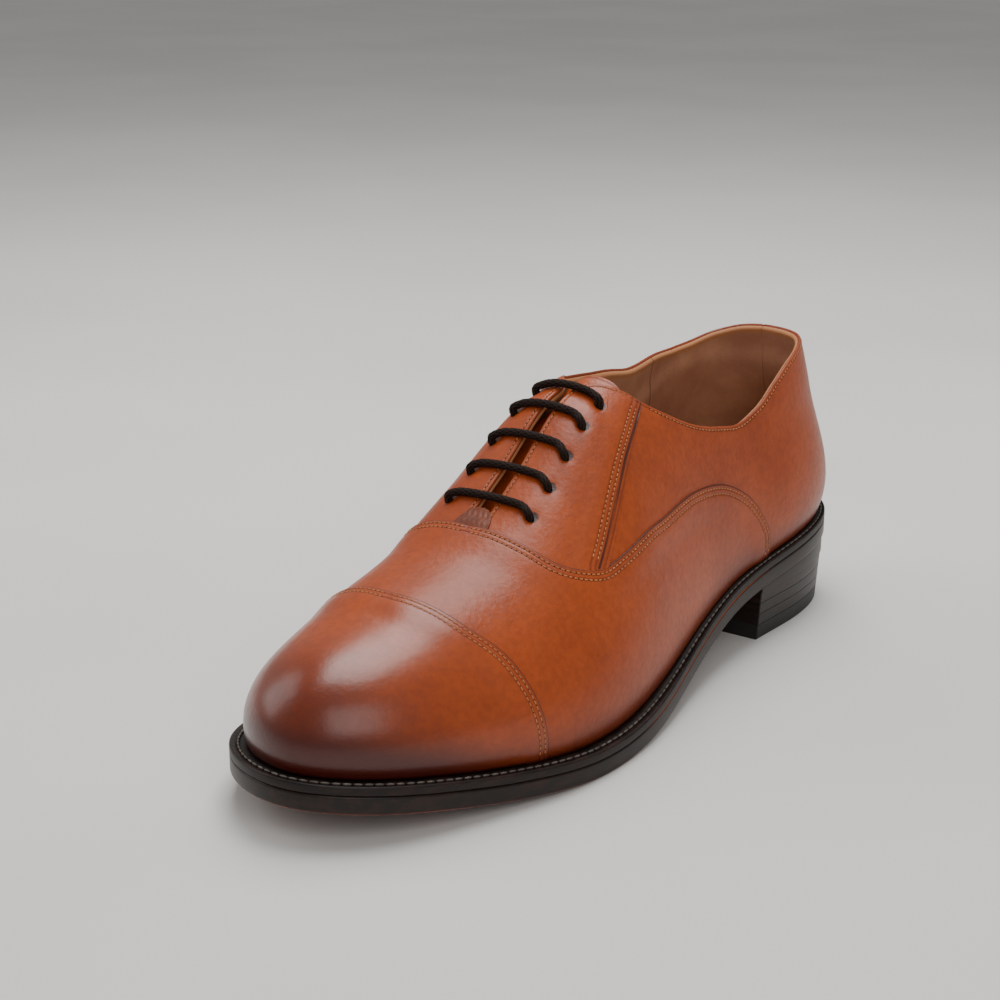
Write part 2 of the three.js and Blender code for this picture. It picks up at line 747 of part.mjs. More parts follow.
// Linings and stiffeners
const vampLining = [OUTER, INNER].map((side) => ({
  side,
  rows: RIBS.filter((u) => u >= 0.665).map((u) => steps(ROWS).map((r) => [u, r * 90])),
}));
add('vamp_lining', skin(vampLining, liningDip, (...p) => liningDip(...p) + LINING), '#a98560', 0.75);
const puff = [OUTER, INNER].map((side) => ({
  side,
  rows: RIBS.filter((u) => u >= 0.828).map((u) => steps(ROWS).map((r) => [u, r * 90])),
}));
add('toe_puff', skin(puff, 0, STIFFENER), '#cfc4ad', 0.85);
const counter = [OUTER, INNER].map((side) => ({
  side,
  rows: RIBS.filter((u) => u <= 0.25).map((u) => steps(5).map((r) => [
    u, r * mix(34, 26, smooth(0.1, 0.25, u)),
  ])),
}));
add('heel_counter', skin(counter, 0, STIFFENER), '#b79a72', 0.85);

// Tongue, in one piece with its own lining
const tongueIn = RUN_LIFT - LACE_R - 1.5 - TONGUE_LEATHER;
add('tongue', skin(tongueGrid(0), tongueOffset(tongueIn), tongueOffset(tongueIn + TONGUE_LEATHER)), TAN, 0.42);
const tongueLow = tongueIn - GAP - TONGUE_LINING;
add(
  'tongue_lining',
  skin(tongueGrid(1.5), tongueOffset(tongueLow), tongueOffset(tongueLow + TONGUE_LINING)),
  CREAM, 0.75,
);

// Bottom
const weltOut = (u) => weltWidth(rib(OUTER, u).y / UPPER_LENGTH) + UPPER_OUT;
const raised = (height) => (v) => feather(v) + height;
const liningIn = (u) => liningDip(OUTER, u, 0) - 2 * GAP + 0.45 * Math.min(rib(INNER, u).swell, 0);
add('insole', slab(RIBS, liningIn, liningIn, raised(GAP + INSOLE_THICK), raised(GAP)), '#c49a6c', 0.8);
const sockRibs = RIBS.filter((u) => u <= 0.52);
const sockOff = (u) => liningIn(u) - 0.8;
const sockLow = 2 * GAP + INSOLE_THICK;
add('sock', slab(sockRibs, sockOff, sockOff, raised(sockLow + SOCK_THICK), raised(sockLow)), '#8f5f3c', 0.7);
add('welt', band(() => -FEATHER_IN, weltOut, raised(-WELT_THICK), raised(0)), EDGE, 0.45);
const fillOff = () => -FEATHER_IN - GAP;
const filler = slab(RIBS, fillOff, fillOff, raised(0), raised(-WELT_THICK));

function strip(width, y0, y1, lowZ, topZ) {
  const n = 14;
  const t = [];
  const section = steps(n).map((s) => {
    const y = mix(y0, y1, s);
    const z = feather(y / UPPER_LENGTH);
    const cy = UPPER_LENGTH / 2 - y;
    const x0 = SHANK_SIDE - width / 2;
    const x1 = SHANK_SIDE + width / 2;
    return [
      new THREE.Vector3(x0, cy, z + lowZ), new THREE.Vector3(x1, cy, z + lowZ),
      new THREE.Vector3(x1, cy, z + topZ), new THREE.Vector3(x0, cy, z + topZ),
    ];
  });
  for (let i = 0; i < n; i += 1) {
    for (let k = 0; k < 4; k += 1) {
      const m = (k + 1) % 4;
      t.push([section[i][k], section[i + 1][k], section[i + 1][m]]);
      t.push([section[i][k], section[i + 1][m], section[i][m]]);
    }
  }
  const e = section[n];
  const s = section[0];
  t.push([s[0], s[1], s[2]], [s[0], s[2], s[3]], [e[0], e[2], e[1]], [e[0], e[3], e[2]]);
  return facingOut(solid(t));
}
const shankFrom = 0.17 * UPPER_LENGTH;
const shankTo = shankFrom + SHANK_LENGTH;
const pocket = strip(SHANK_WIDTH + 2 * GAP, shankFrom - GAP, shankTo + GAP, -SHANK_THICK - 2 * GAP, 1);
add('cork_filler', subtract(filler, [pocket]), '#7a5433', 0.95);
add('shank', strip(SHANK_WIDTH, shankFrom, shankTo, -SHANK_THICK - GAP, -GAP), '#9aa0a6', 0.35, 1);
add('outsole', slab(RIBS, weltOut, weltOut, raised(-WELT_THICK - GAP), raised(-SOLE_STACK)), SOLE, 0.35);

// Heel: wedge, three lifts and top piece, narrowing a little towards the ground
const breast = RIBS.filter((u) => u < BREAST_AT - 0.02).concat([BREAST_AT]);
const seatZ = raised(-SOLE_STACK - GAP);
const liftThick = (seatZ(rib(OUTER, BREAST_AT).y / UPPER_LENGTH) - WEDGE_FRONT - TOP_PIECE) / LIFTS - GAP;
const heelOff = (z) => (u) => weltOut(u) - 0.4 - HEEL_TAPER * (seatZ(0) - z);
function lift(name, low, top, color) {
  add(name, slab(breast, heelOff(top), heelOff(low), () => top, () => low), color, 0.5);
}
lift('top_piece', 0, TOP_PIECE, '#17110d');
for (let k = 0; k < LIFTS; k += 1) {
  const low = TOP_PIECE + GAP + k * (liftThick + GAP);
  lift(`heel_lift_${k + 1}`, low, low + liftThick, STACK);
}
const wedgeLow = TOP_PIECE + GAP + LIFTS * (liftThick + GAP);
add('heel_wedge', slab(breast, heelOff(seatZ(0)), heelOff(wedgeLow), seatZ, () => wedgeLow), STACK, 0.5);

// Lace and its tips
const route = laceRoute();
add('lace', cord(route, LACE_R, 6, 160), LACE, 0.8);
add('aglet_medial', aglet(route.getPoint(0), route.getPoint(0.004)), '#3a2a20', 0.4);
add('aglet_lateral', aglet(route.getPoint(1), route.getPoint(0.996)), '#3a2a20', 0.4);

// Bring the footprint centre to the origin
const box = new THREE.Box3().setFromObject(shoe);
const centre = box.getCenter(new THREE.Vector3());
shoe.children.forEach((m) => m.geometry.translate(-centre.x, -centre.y, -box.min.z));

export default shoe;
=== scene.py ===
"""Looks of a left cap-toe oxford: calf upper, welted leather sole, stacked heel and round laces.

Shapes are worked out in millimetres with the heel back at y = 0, then placed in the part's frame.
"""
import math

import bpy
import numpy as np
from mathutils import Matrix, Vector


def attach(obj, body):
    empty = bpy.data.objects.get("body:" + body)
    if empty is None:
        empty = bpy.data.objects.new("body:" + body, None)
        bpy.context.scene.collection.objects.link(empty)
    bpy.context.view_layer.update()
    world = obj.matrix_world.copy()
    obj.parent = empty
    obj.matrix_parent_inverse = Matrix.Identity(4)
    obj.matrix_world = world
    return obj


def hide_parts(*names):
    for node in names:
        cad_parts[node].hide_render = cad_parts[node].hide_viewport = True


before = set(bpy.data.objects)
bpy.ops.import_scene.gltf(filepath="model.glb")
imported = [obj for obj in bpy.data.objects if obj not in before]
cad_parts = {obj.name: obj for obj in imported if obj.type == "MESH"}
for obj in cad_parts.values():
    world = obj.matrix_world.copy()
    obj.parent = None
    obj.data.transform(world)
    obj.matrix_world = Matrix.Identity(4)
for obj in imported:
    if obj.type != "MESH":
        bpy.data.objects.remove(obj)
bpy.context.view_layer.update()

# ---- Sizes of the shoe, in millimetres unless they are shares ----
UPPER_LENGTH = 289
UPPER_WIDTH = 95
INSTEP_DEPTH = 90
HEEL_RISE = 26.8
TOE_SPRING = 11.3
GAP = 0.3
LINING = 0.9
STIFFENER = 0.9
LAYER_GAP = 0.6
LEATHER = 1.4
LAP = 0.75
WELT_THICK = 3
WELT_FORE = 5.5
WELT_WAIST = 3.8
WELT_HEEL = 3
OUTSOLE_THICK = 5.9
BREAST_AT = 0.282
TOP_PIECE = 5.5
LIFTS = 3
WEDGE_FRONT = 1.6
HEEL_TAPER = 0.07
LACE_R = 1.4
TONGUE_LEATHER = 1.4
TONGUE_LINING = 0.7
TONGUE_RISE = 3.2

SOLE_STACK = WELT_THICK + GAP + OUTSOLE_THICK
UPPER_IN = LINING + LAYER_GAP
UPPER_OUT = UPPER_IN + LEATHER
LINING_DROP = STIFFENER + LAYER_GAP
RUN_LIFT = -(GAP + 0.8 + LACE_R)
TONGUE_IN = RUN_LIFT - LACE_R - 1.5 - TONGUE_LEATHER

# How the upper's ribs swing into the heel and toe, and how it is shaped near the foot and lacing
END_RUN = 32
END_SOFT = 14
BULGE_HEIGHT = 48
LACING_FLAT = 1.6
EDGE_RUN = 325

# Stitching and braid
STITCH_PITCH = 1.85
ROW_NEAR = 1.6
ROW_FAR = 3.5
WELT_PITCH = 3.2
GROOVE_AT = 0.5
BRAID_PITCH = 3.1
BRAID_STRANDS = 7

# Places on the upper are (rib share, phi). The share runs from 0 at the heel to 1 at the toe, phi
# from 0 degrees at the feather line to 90 on the ridge.
OUTER = 1
INNER = -1
SIDES = (OUTER, INNER)
WORD = {OUTER: "outer", INNER: "inner"}
SIDE_TOP = 0.442
SIDE_FOOT = (0.608, 42.4)
FACING_TOP = 0.492
FRONT_PHI = 87.5
THROAT = 0.657
WING_FOOT = 0.26
VAMP_FOOT = 0.686
TONGUE_TIP = 0.436
TONGUE_ROOT = 0.695
HOLE_RIBS = [0.494, 0.528, 0.561, 0.594, 0.627]
HOLE_PHI = 72
EDGE_KNOTS = [
    (WING_FOOT, 0), (0.264, 8), (0.281, 15), (0.3, 20.2), (0.333, 25.5), (0.362, 28.5),
    (0.408, 31.3), (0.492, 33.8), (0.542, 36), (0.579, 39), SIDE_FOOT, (0.642, 54), (0.654, 68),
    (THROAT, FRONT_PHI),
]

OUTLINE = {
    OUTER: [
        [0, 0], [0.253, 0.029], [0.368, 0.114], [0.374, 0.232], [0.384, 0.353], [0.437, 0.474],
        [0.5, 0.606], [0.489, 0.73], [0.374, 0.848], [0.221, 0.948], [-0.021, 1],
    ],
    INNER: [
        [0, 0], [-0.242, 0.031], [-0.321, 0.118], [-0.289, 0.232], [-0.279, 0.363],
        [-0.379, 0.502], [-0.479, 0.626], [-0.5, 0.73], [-0.437, 0.848], [-0.295, 0.955],
        [-0.021, 1],
    ],
}


# ---- Curves that shape the shoe ----
def hermite(t, h, a, b, slope_a, slope_b):
    """Cubic from a to b over a step h, with the given slopes at its ends."""
    r = 1 - t
    near = (1 + 2 * t) * r * r * a + t * r * r * h * slope_a
    return near + t * t * (3 - 2 * t) * b - t * t * r * h * slope_b


def profile(*pairs):
    """Smooth curve through [position, value] pairs that never overshoots."""
    x, y = np.array(pairs, float).T
    s = np.diff(y) / np.diff(x)
    p = s[:-1] * s[1:]
    total = np.where(p > 0, s[:-1] + s[1:], 1)
    m = np.concatenate([[s[0]], np.where(p > 0, 2 * p / total, 0), [s[-1]]])

    def at(q):
        c = np.clip(q, x[0], x[-1])
        i = np.clip(np.searchsorted(x, c) - 1, 0, len(x) - 2)
        h = x[i + 1] - x[i]
        return hermite((c - x[i]) / h, h, y[i], y[i + 1], m[i], m[i + 1])

    return at


heel_share = profile(
    [-0.04, 1.034], [0.156, 0.866], [0.294, 0.7], [0.398, 0.455], [0.502, 0.187], [0.606, 0.03],
    [0.66, 0], [1, 0],
)
toe_share = profile([0, 0], [0.68, 0], [0.813, 0.265], [0.91, 0.637], [1, 1], [1.04, 1.16])
ridge_share = profile(
    [0, 1.318], [0.156, 1.121], [0.294, 1.017], [0.398, 1.024], [0.502, 1.003], [0.606, 0.82],
    [0.709, 0.622], [0.813, 0.508], [0.91, 0.369], [1, 0.313],
)
ridge_x = profile([0, -0.017], [0.294, -0.027], [0.606, -0.034], [0.813, -0.05], [1, -0.053])
roundness = profile([0, 1.6], [0.156, 1.7], [0.35, 1.8], [0.606, 2], [1, 2])
fullness = {
    OUTER: profile([0, 2.4], [0.156, 2.3], [0.35, 1.95], [0.502, 2], [0.709, 2.2], [1, 2.3]),
    INNER: profile([0, 2.4], [0.156, 2.4], [0.35, 1.95], [0.502, 2.25], [0.709, 2.4], [1, 2.3]),
}
swell = {
    OUTER: profile([0, 3.8], [0.156, 2.6], [0.294, 1.1], [0.502, 1.5], [0.709, 2], [1, 2.4]),
    INNER: profile(
        [0, 3.8], [0.156, 1.5], [0.294, -1], [0.398, -3], [0.502, -2], [0.709, 1], [1, 2.4]
    ),
}
welt_width = profile(
    [0, WELT_HEEL], [0.3, WELT_HEEL], [0.45, WELT_WAIST], [0.62, WELT_FORE], [1, WELT_FORE]
)
cap_seam = profile([0, 0.737], [20, 0.742], [40, 0.752], [60, 0.773], [90, 0.788])
topline = {
    OUTER: profile(
        [0, 44.5], [0.08, 44.6], [0.16, 43.4], [0.21, 41], [0.25, 38.4], [0.285, 37.8],
        [0.333, 40.7], [0.367, 44.4], [0.4, 50.1], [0.442, 61.5], [0.458, 71], [0.474, 82],
        [0.492, 87.5], [1, 87.5],
    ),
    INNER: profile(
        [0, 44.5], [0.033, 44], [0.08, 42.3], [0.133, 40.8], [0.167, 41.4], [0.233, 45.1],
        [0.3, 49.7], [0.367, 57.1], [0.4, 61], [0.442, 68], [0.458, 74.5], [0.474, 82.5],
        [0.492, 87.5], [1, 87.5],
    ),
}


def mix(a, b, t):
    return a + (b - a) * t


def smooth(low, high, x):
    t = np.clip((np.asarray(x, float) - low) / (high - low), 0, 1)
    return t * t * (3 - 2 * t)


def feather(v):
    return SOLE_STACK + HEEL_RISE * heel_share(v) + TOE_SPRING * toe_share(v)


def length_along(line):
    return np.concatenate([[0], np.cumsum(np.linalg.norm(np.diff(line, axis=0), axis=1))])


def sample(at, run, line):
    """Points of a line at the given lengths along it."""
    return np.stack([np.interp(at, run, line[:, k]) for k in range(line.shape[1])], 1)


def through(points, count):
    """Even samples of a centripetal curve through points, any number of axes."""
    p = np.array(points, float)
    p = np.vstack([2 * p[0] - p[1], p, 2 * p[-1] - p[-2]])
    out = []
    for i in range(1, len(p) - 2):
        a, b, c, d = p[i - 1 : i + 3]
        steps = (np.sqrt(np.linalg.norm(q)) for q in (b - a, c - b, d - c))
        d0, d1, d2 = (max(q, 1e-4) for q in steps)
        m1 = ((b - a) / d0 - (c - a) / (d0 + d1) + (c - b) / d1) * d1
        m2 = ((c - b) / d1 - (d - b) / (d1 + d2) + (d - c) / d2) * d1
        t = np.linspace(0, 1, 40, endpoint=i == len(p) - 3)[:, None]
        out.append(hermite(t, 1, b, c, m1, m2))
    line = np.vstack(out)
    run = length_along(line)
    return sample(np.linspace(0, run[-1], count), run, line)


SHARES = np.linspace(0, 1, 6001)


def outline_table(side, count=len(SHARES)):
    """Feather outline of one side, sampled by chord share: columns x and y."""
    pts = np.array(OUTLINE[side]) * [UPPER_WIDTH, UPPER_LENGTH]
    d = length_along(pts)
    n = len(pts)
    a = np.eye(n)
    rhs = np.zeros((n, 2))
    rhs[0] = [side, 0]
    rhs[-1] = [-side, 0]
    for i in range(1, n - 1):
        h0, h1 = d[i] - d[i - 1], d[i + 1] - d[i]
        a[i, i - 1 : i + 2] = [h1, 2 * (h0 + h1), h0]
        rhs[i] = 3 * (h1 * (pts[i] - pts[i - 1]) / h0 + h0 * (pts[i + 1] - pts[i]) / h1)
    m = np.linalg.solve(a, rhs)
    at = np.linspace(0, d[-1], count)
    i = np.clip(np.searchsorted(d, at) - 1, 0, n - 2)
    h = (d[i + 1] - d[i])[:, None]
    t = (at - d[i])[:, None] / h
    return hermite(t, h, pts[i], pts[i + 1], m[i], m[i + 1])


def side_table(side):
    """Place and outward direction of every rib's feather point on one side."""
    xy = outline_table(OUTER)
    if side == INNER:
        dense = np.linspace(0, 1, 60001)
        own = outline_table(INNER, len(dense))
        share = np.interp(xy[:, 1], np.maximum.accumulate(own[:, 1]), dense)
        # both sides leave the heel and the toe straight across, so y says too little at the ends
        n = 60
        share[:n] = SHARES[:n] * (share[n] / SHARES[n])
        share[-n:] = 1 - (1 - SHARES[-n:]) * ((1 - share[-n - 1]) / (1 - SHARES[-n - 1]))
        xy = np.stack([np.interp(share, dense, own[:, 0]), xy[:, 1]], 1)
    step = np.gradient(xy, axis=0)
    step /= np.linalg.norm(step, axis=1)[:, None]
    normal = np.stack([side * step[:, 1], -side * step[:, 0]], 1)
    normal[0] = [0, -1]
    normal[-1] = [0, 1]
    return np.hstack([xy, normal])


TABLES = {side: side_table(side) for side in SIDES}
rim = np.vstack([
    TABLES[s][:, :2] + TABLES[s][:, 2:] * welt_width(TABLES[s][:, 1] / UPPER_LENGTH)[:, None]
    for s in SIDES
])
CENTRE = (rim.min(0) + rim.max(0)) / 2


def rib(side, u):
    u = np.asarray(u, float)
    return [np.interp(u, SHARES, TABLES[side][:, k]) for k in range(4)]


def placed(x, y, z):
    return np.stack([x - CENTRE[0], CENTRE[1] - y, z], -1)


def upper(side, u, phi, layer):
    """Point of the upper: phi is 0 at the feather and 90 on the ridge, layer counts outwards."""
    x, y, nx, ny = rib(side, u)
    off = np.asarray(layer, float) - UPPER_OUT
    soft = lambda q: END_SOFT * np.log1p(np.exp(q / END_SOFT))
    yc = END_RUN + soft(y - END_RUN) - soft(y - (UPPER_LENGTH - END_RUN))
    v, vc = y / UPPER_LENGTH, yc / UPPER_LENGTH
    a = np.radians(phi)
    rho = np.maximum(np.cos(a), 1e-12) ** (2 / fullness[side](v))
    zeta = np.sin(a) ** (2 / roundness(v))
    foot = feather((y + ny * off) / UPPER_LENGTH) + GAP
    top = feather(vc) + INSTEP_DEPTH * ridge_share(vc) + off
    z = foot + (top - foot) * zeta
    cx = ridge_x(vc) * UPPER_WIDTH
    dx, dy = x + nx * off - cx, y + ny * off - yc
    reach = np.hypot(dx, dy)
    h = np.clip((z - foot) / BULGE_HEIGHT, 0, 1)
    bulge = 27 / 4 * h * (1 - h) ** 2
    length = reach * rho + swell[side](v) * bulge * np.sqrt(rho)
    flat = LACING_FLAT * smooth(66, 90, phi) * smooth(0.26, 0.34, v) * smooth(0.72, 0.64, v)
    return placed(cx + dx / reach * length, yc + dy / reach * length, z - flat)


def topline_at(side, u):
    return upper(side, u, topline[side](u), UPPER_OUT)


def share_of(y):
    """Share of the length at a place in the part's frame."""
    return (CENTRE[1] - y) / UPPER_LENGTH


def edge_at(side, u, off, height):
    """Point on the bottom layers: off outwards from the upper, height(v) above the ground."""
    x, y, nx, ny = rib(side, u)
    yy = y + ny * off
    return placed(x + nx * off, yy, height(yy / UPPER_LENGTH) + 0 * yy)


def raised(height):
    return lambda v: feather(v) + height


def distance(points, line):
    """Distance of each point from a polyline."""
    a, b = line[:-1], line[1:]
    d = b - a
    length = np.maximum((d * d).sum(1), 1e-9)
    out = np.full(len(points), 1e9)
    for k in range(len(a)):
        t = np.clip(((points - a[k]) @ d[k]) / length[k], 0, 1)
        out = np.minimum(out, np.linalg.norm(points - a[k] - t[:, None] * d[k], axis=1))
    return out


def spaced(length, step, start=True, end=True):
    """Shares from 0 to 1 with close rows near the free ends, for a rolled edge."""
    close = np.array([0, 0.06, 0.18, 0.38, 0.7]) / length
    lo = close if start else np.array([0.0])
    hi = 1 - close[::-1] if end else np.array([1.0])
    n = max(int((hi[0] - lo[-1]) * length / step), 2)
    return np.unique(np.concatenate([lo, np.linspace(lo[-1], hi[0], n + 1), hi]))


# ---- Meshes ----
def new_object(name, data):
    obj = bpy.data.objects.new(name, data)
    bpy.context.scene.collection.objects.link(obj)
    return obj


def as_object(name, verts, faces, body, attributes):
    """Mesh object at the origin from millimetre points, with point attributes, riding on a body."""
    v = np.asarray(verts, float) / 1000
    mesh = bpy.data.meshes.new(name)
    mesh.from_pydata(v.tolist(), [], [list(map(int, f)) for f in faces])
    mesh.validate()
    mesh.update()
    if signed_volume(mesh) < 0:
        mesh.flip_normals()
    for key, values in attributes.items():
        at = mesh.attributes.new(key, "FLOAT", "POINT")
        at.data.foreach_set("value", np.asarray(values, np.float32))
    mesh.polygons.foreach_set("use_smooth", [True] * len(mesh.polygons))
    obj = new_object(name, mesh)
    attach(obj, body)
    return obj


def signed_volume(mesh):
    mesh.calc_loop_triangles()
    co = np.array([v.co for v in mesh.vertices])
    t = np.array([l.vertices for l in mesh.loop_triangles])
    return float(np.einsum("ij,ij->i", co[t[:, 0]], np.cross(co[t[:, 1]], co[t[:, 2]])).sum())


def weld(points, faces, tolerance=2e-3):
    """Join points that lie together, drop faces that vanish and points that only halve an edge."""
    key = np.round(np.asarray(points) / tolerance).astype(np.int64)
    _, first, inverse = np.unique(key, axis=0, return_index=True, return_inverse=True)
    inverse = inverse.reshape(-1)
    kept = []
    for f in faces:
        g = list(dict.fromkeys(inverse[k] for k in f))
        if len(g) > 2:
            kept.append(g)
    users = {}
    for f in kept:
        for j, k in enumerate(f):
            users.setdefault(k, []).append((f, {f[j - 1], f[(j + 1) % len(f)]}))
    spare = [k for k, found in users.items() if len(found) == 2 and found[0][1] == found[1][1]]
    for k in spare:
        for f, _ in users[k]:
            f.remove(k)
    kept = [f for f in kept if len(f) > 2]
    left = np.delete(np.arange(len(first)), spare)
    number = np.full(len(first), -1)
    number[left] = np.arange(len(left))
    return first[left], [[int(number[k]) for k in f] for f in kept]


def grid_faces(rows, columns, base=0):
    i, j = np.meshgrid(np.arange(rows - 1), np.arange(columns - 1), indexing="ij")
    a = base + i * columns + j
    return np.stack([a, a + columns, a + columns + 1, a + 1], -1).reshape(-1, 4)


class Skin:
    """Sheet of leather laid over the upper from grids of (rib share, phi)."""

    def __init__(self, *grids):
        side, u, phi, faces, base = [], [], [], [], 0
        for s, gu, gphi in grids:
            gu, gphi = np.broadcast_arrays(gu, gphi)
            f = grid_faces(*gu.shape, base)
            faces.extend(f if s == OUTER else f[:, ::-1])
            side.append(np.full(gu.size, s))
            u.append(gu.ravel())
            phi.append(gphi.ravel())
            base += gu.size
        self.side, self.u, self.phi = (np.concatenate(q) for q in (side, u, phi))
        first, self.faces = weld(self.at(UPPER_OUT), faces)
        self.side, self.u, self.phi = self.side[first], self.u[first], self.phi[first]
        self.points = self.at(UPPER_OUT)

    def rounded_top(self, verts):
        """Round off the toe's highest point, where the ribs of both sides meet.

        A smooth surface fitted to the ring round that point takes over towards its middle.
        """
        n, unit, blend = len(self.points), 20, (7, 18)
        xy = (verts[:n, :2] - upper(OUTER, 1.0, 90, UPPER_OUT)[:2]) / unit
        d = np.linalg.norm(xy, axis=1) * unit
        powers = [(i, j) for i in range(5) for j in range(5 - i)]
        terms = lambda q: np.stack([q[:, 0] ** i * q[:, 1] ** j for i, j in powers], 1)
        ring = (d > 9) & (d < 26)
        fit = np.linalg.lstsq(terms(xy[ring]), verts[:n][ring, 2], rcond=None)[0]
        near = d < blend[1]
        change = np.zeros(n)
        change[near] = terms(xy[near]) @ fit - verts[:n][near, 2]
        change[near] *= 1 - smooth(*blend, d[near])
        verts[:, 2] += np.concatenate([change, change])
        return verts

    def at(self, layer):
        layer = np.broadcast_to(layer, self.u.shape)
        out = np.zeros((len(self.u), 3))
        for s in SIDES:
            m = self.side == s
            if m.any():
                out[m] = upper(s, self.u[m], self.phi[m], layer[m])
        return out

    def solid(self, name, low, high, body="shoe", round_top=False, **attributes):
        """Closed leather between two layers; the rim is closed along every open edge."""
        n = len(self.points)
        edges = dict.fromkeys((a, b) for f in self.faces for a, b in zip(f, f[1:] + f[:1]))
        faces = self.faces + [[k + n for k in f[::-1]] for f in self.faces]
        faces += [[b, a, a + n, b + n] for a, b in edges if (b, a) not in edges]
        verts = np.vstack([self.at(high), self.at(low)])
        if round_top:
            verts = self.rounded_top(verts)
        given = {"seam": 99, "rim": 99, "hole": 99, "tone": 0, **attributes}
        both = {k: np.concatenate([np.broadcast_to(v, n)] * 2) for k, v in given.items()}
        return as_object(name, verts, faces, body, both)


def roll(d, radius):
    """How far a cut edge is rounded down, at distance d from it."""
    t = np.clip(1 - d / radius, 0, 1)
    return radius * (1 - np.sqrt(np.maximum(1 - t * t, 0)))


# ---- Seams, as rows of (rib share, phi) ----
def vamp_edge(wing_count, throat_count):
    """The wing's edge and the throat edge, each evenly sampled."""
    line = through([[u * EDGE_RUN, phi] for u, phi in EDGE_KNOTS], 3000) / [EDGE_RUN, 1]
    k = int(np.argmin(np.abs(line[:, 0] - SIDE_FOOT[0])))
    wing = line[np.linspace(0, k, wing_count).astype(int)]
    throat = line[np.linspace(k, len(line) - 1, throat_count).astype(int)]
    return wing, throat


def side_top(side):
    return (SIDE_TOP, float(topline[side](SIDE_TOP)))


def wing_seam(side):
    """The vamp's upper edge: up from the heel, round to the throat and over the ridge."""
    wing, throat = vamp_edge(180, 80)
    over = np.stack([np.full(6, THROAT), np.linspace(87.9, 90, 6)], 1)
    return np.vstack([wing, throat[1:], over])


def side_seam(side):
    t = np.linspace(0, 1, 60)
    top = side_top(side)
    return np.stack([mix(SIDE_FOOT[0], top[0], t), mix(SIDE_FOOT[1], top[1], t)], 1)


def on_upper(side, pairs, layer=UPPER_OUT):
    return upper(side, pairs[:, 0], pairs[:, 1], layer)


def burnish_and_shade(points, height_above):
    """Darker polish towards the toe tip and the heel, and painted shade in a band low near the
    welt.
    """
    toe = smooth(-84, -146, points[:, 1])
    # painted shade: darker in a band low near the welt
    low = smooth(17, 0, height_above)
    back = smooth(120, 150, points[:, 1]) * 0.5
    return np.clip(0.75 * toe + 0.65 * low + back, 0, 1)


def tone_of(skin):
    foot = feather(share_of(skin.points[:, 1]))
    return burnish_and_shade(skin.points, skin.points[:, 2] - foot)


def both_sides(make):
    """A seam that crosses the shoe: outer side reversed, then the inner side."""
    a, b = make(OUTER), make(INNER)
    return np.vstack([a, b[::-1][1:]])


# ---- Upper pieces ----
def toe_cap():
    t = spaced(75, 1.5, True, False)[:, None]
    phi = np.linspace(0, 90, 62)[None, :]
    skin = Skin(*[(s, mix(cap_seam(phi), 1, t), phi + 0 * t) for s in SIDES])
    phis = np.linspace(0, 90, 90)
    edge = both_sides(lambda s: upper(s, cap_seam(phis), phis, UPPER_OUT))
    d = distance(skin.points, edge)
    high = UPPER_OUT + LAP * (1 - smooth(4, 14, d)) - roll(d, 0.6)
    low = mix(UPPER_OUT + 0.06, UPPER_IN, smooth(6.5, 12, d))
    return skin.solid("toe_cap_calf", np.minimum(low, high - 0.25), high,
                      round_top=True, seam=d, tone=tone_of(skin))


def vamp_grid(side):
    lower, throat = vamp_edge(84, 39)
    throat = np.vstack([throat[1:], [[THROAT, 90]]])
    top = np.vstack([lower, throat])
    foot = np.concatenate([
        np.maximum(lower[:, 0], WING_FOOT),
        mix(SIDE_FOOT[0], VAMP_FOOT, np.linspace(0, 1, 40)[1:]),
    ])
    r = 1 - spaced(60, 1.4, True, False)[None, ::-1]
    u = mix(foot[:, None], top[:, :1], r**1.3)
    phi = r * top[:, 1:]
    t = np.linspace(0, 1, 34)[1:, None]
    front = cap_seam(r * 90) + 0.019
    more_u = mix(mix(VAMP_FOOT, THROAT, r**1.3), front, t)
    more_phi = r * 90 + 0 * t
    return side, np.vstack([u, more_u]), np.vstack([phi, more_phi])


def vamp():
    skin = Skin(*[vamp_grid(s) for s in SIDES])
    edge = both_sides(lambda s: on_upper(s, wing_seam(s)))
    d = distance(skin.points, edge)
    high = UPPER_OUT + LAP * 0.9 * (1 - smooth(4, 14, d)) - roll(d, 0.6)
    low = mix(UPPER_OUT + 0.05, UPPER_IN, smooth(6, 11, d))
    return skin.solid("vamp_calf", np.minimum(low, high - 0.25), high, seam=d, tone=tone_of(skin))


def quarter(side):
    """Back panel; it runs on under the wing below and under the facing in front."""
    top = side_top(side)
    u = np.concatenate([np.linspace(0, 0.255, 62), np.linspace(WING_FOOT, 0.63, 84)])[:, None]
    wing = vamp_edge(200, 2)[0]
    order = np.argsort(wing[:, 0], kind="stable")
    floor = np.interp(u, wing[order, 0], wing[order, 1]) - 5
    floor = np.where(u < 0.262, 0, np.maximum(floor, 0))
    lean = smooth(0.35, 0.63, u) * (SIDE_FOOT[0] - top[0])
    r = spaced(60, 1.4, False, True)[None, :]
    head = topline[side](u - lean)
    skin = Skin((side, u - lean * r, mix(floor, head, r)))
    us = np.linspace(0, 0.47, 200)
    back = upper(side, 0 * us, np.linspace(0, 44.5, 200), UPPER_OUT)
    d = distance(skin.points, topline_at(side, us))
    centre = distance(skin.points, back)
    high = UPPER_OUT - roll(d, 0.8) - 0.5 * roll(centre, 0.7)
    low = UPPER_IN + roll(d, 0.5)
    return skin.solid("quarter_calf_" + WORD[side], np.minimum(low, high - 0.2), high,
                      rim=d, tone=tone_of(skin))


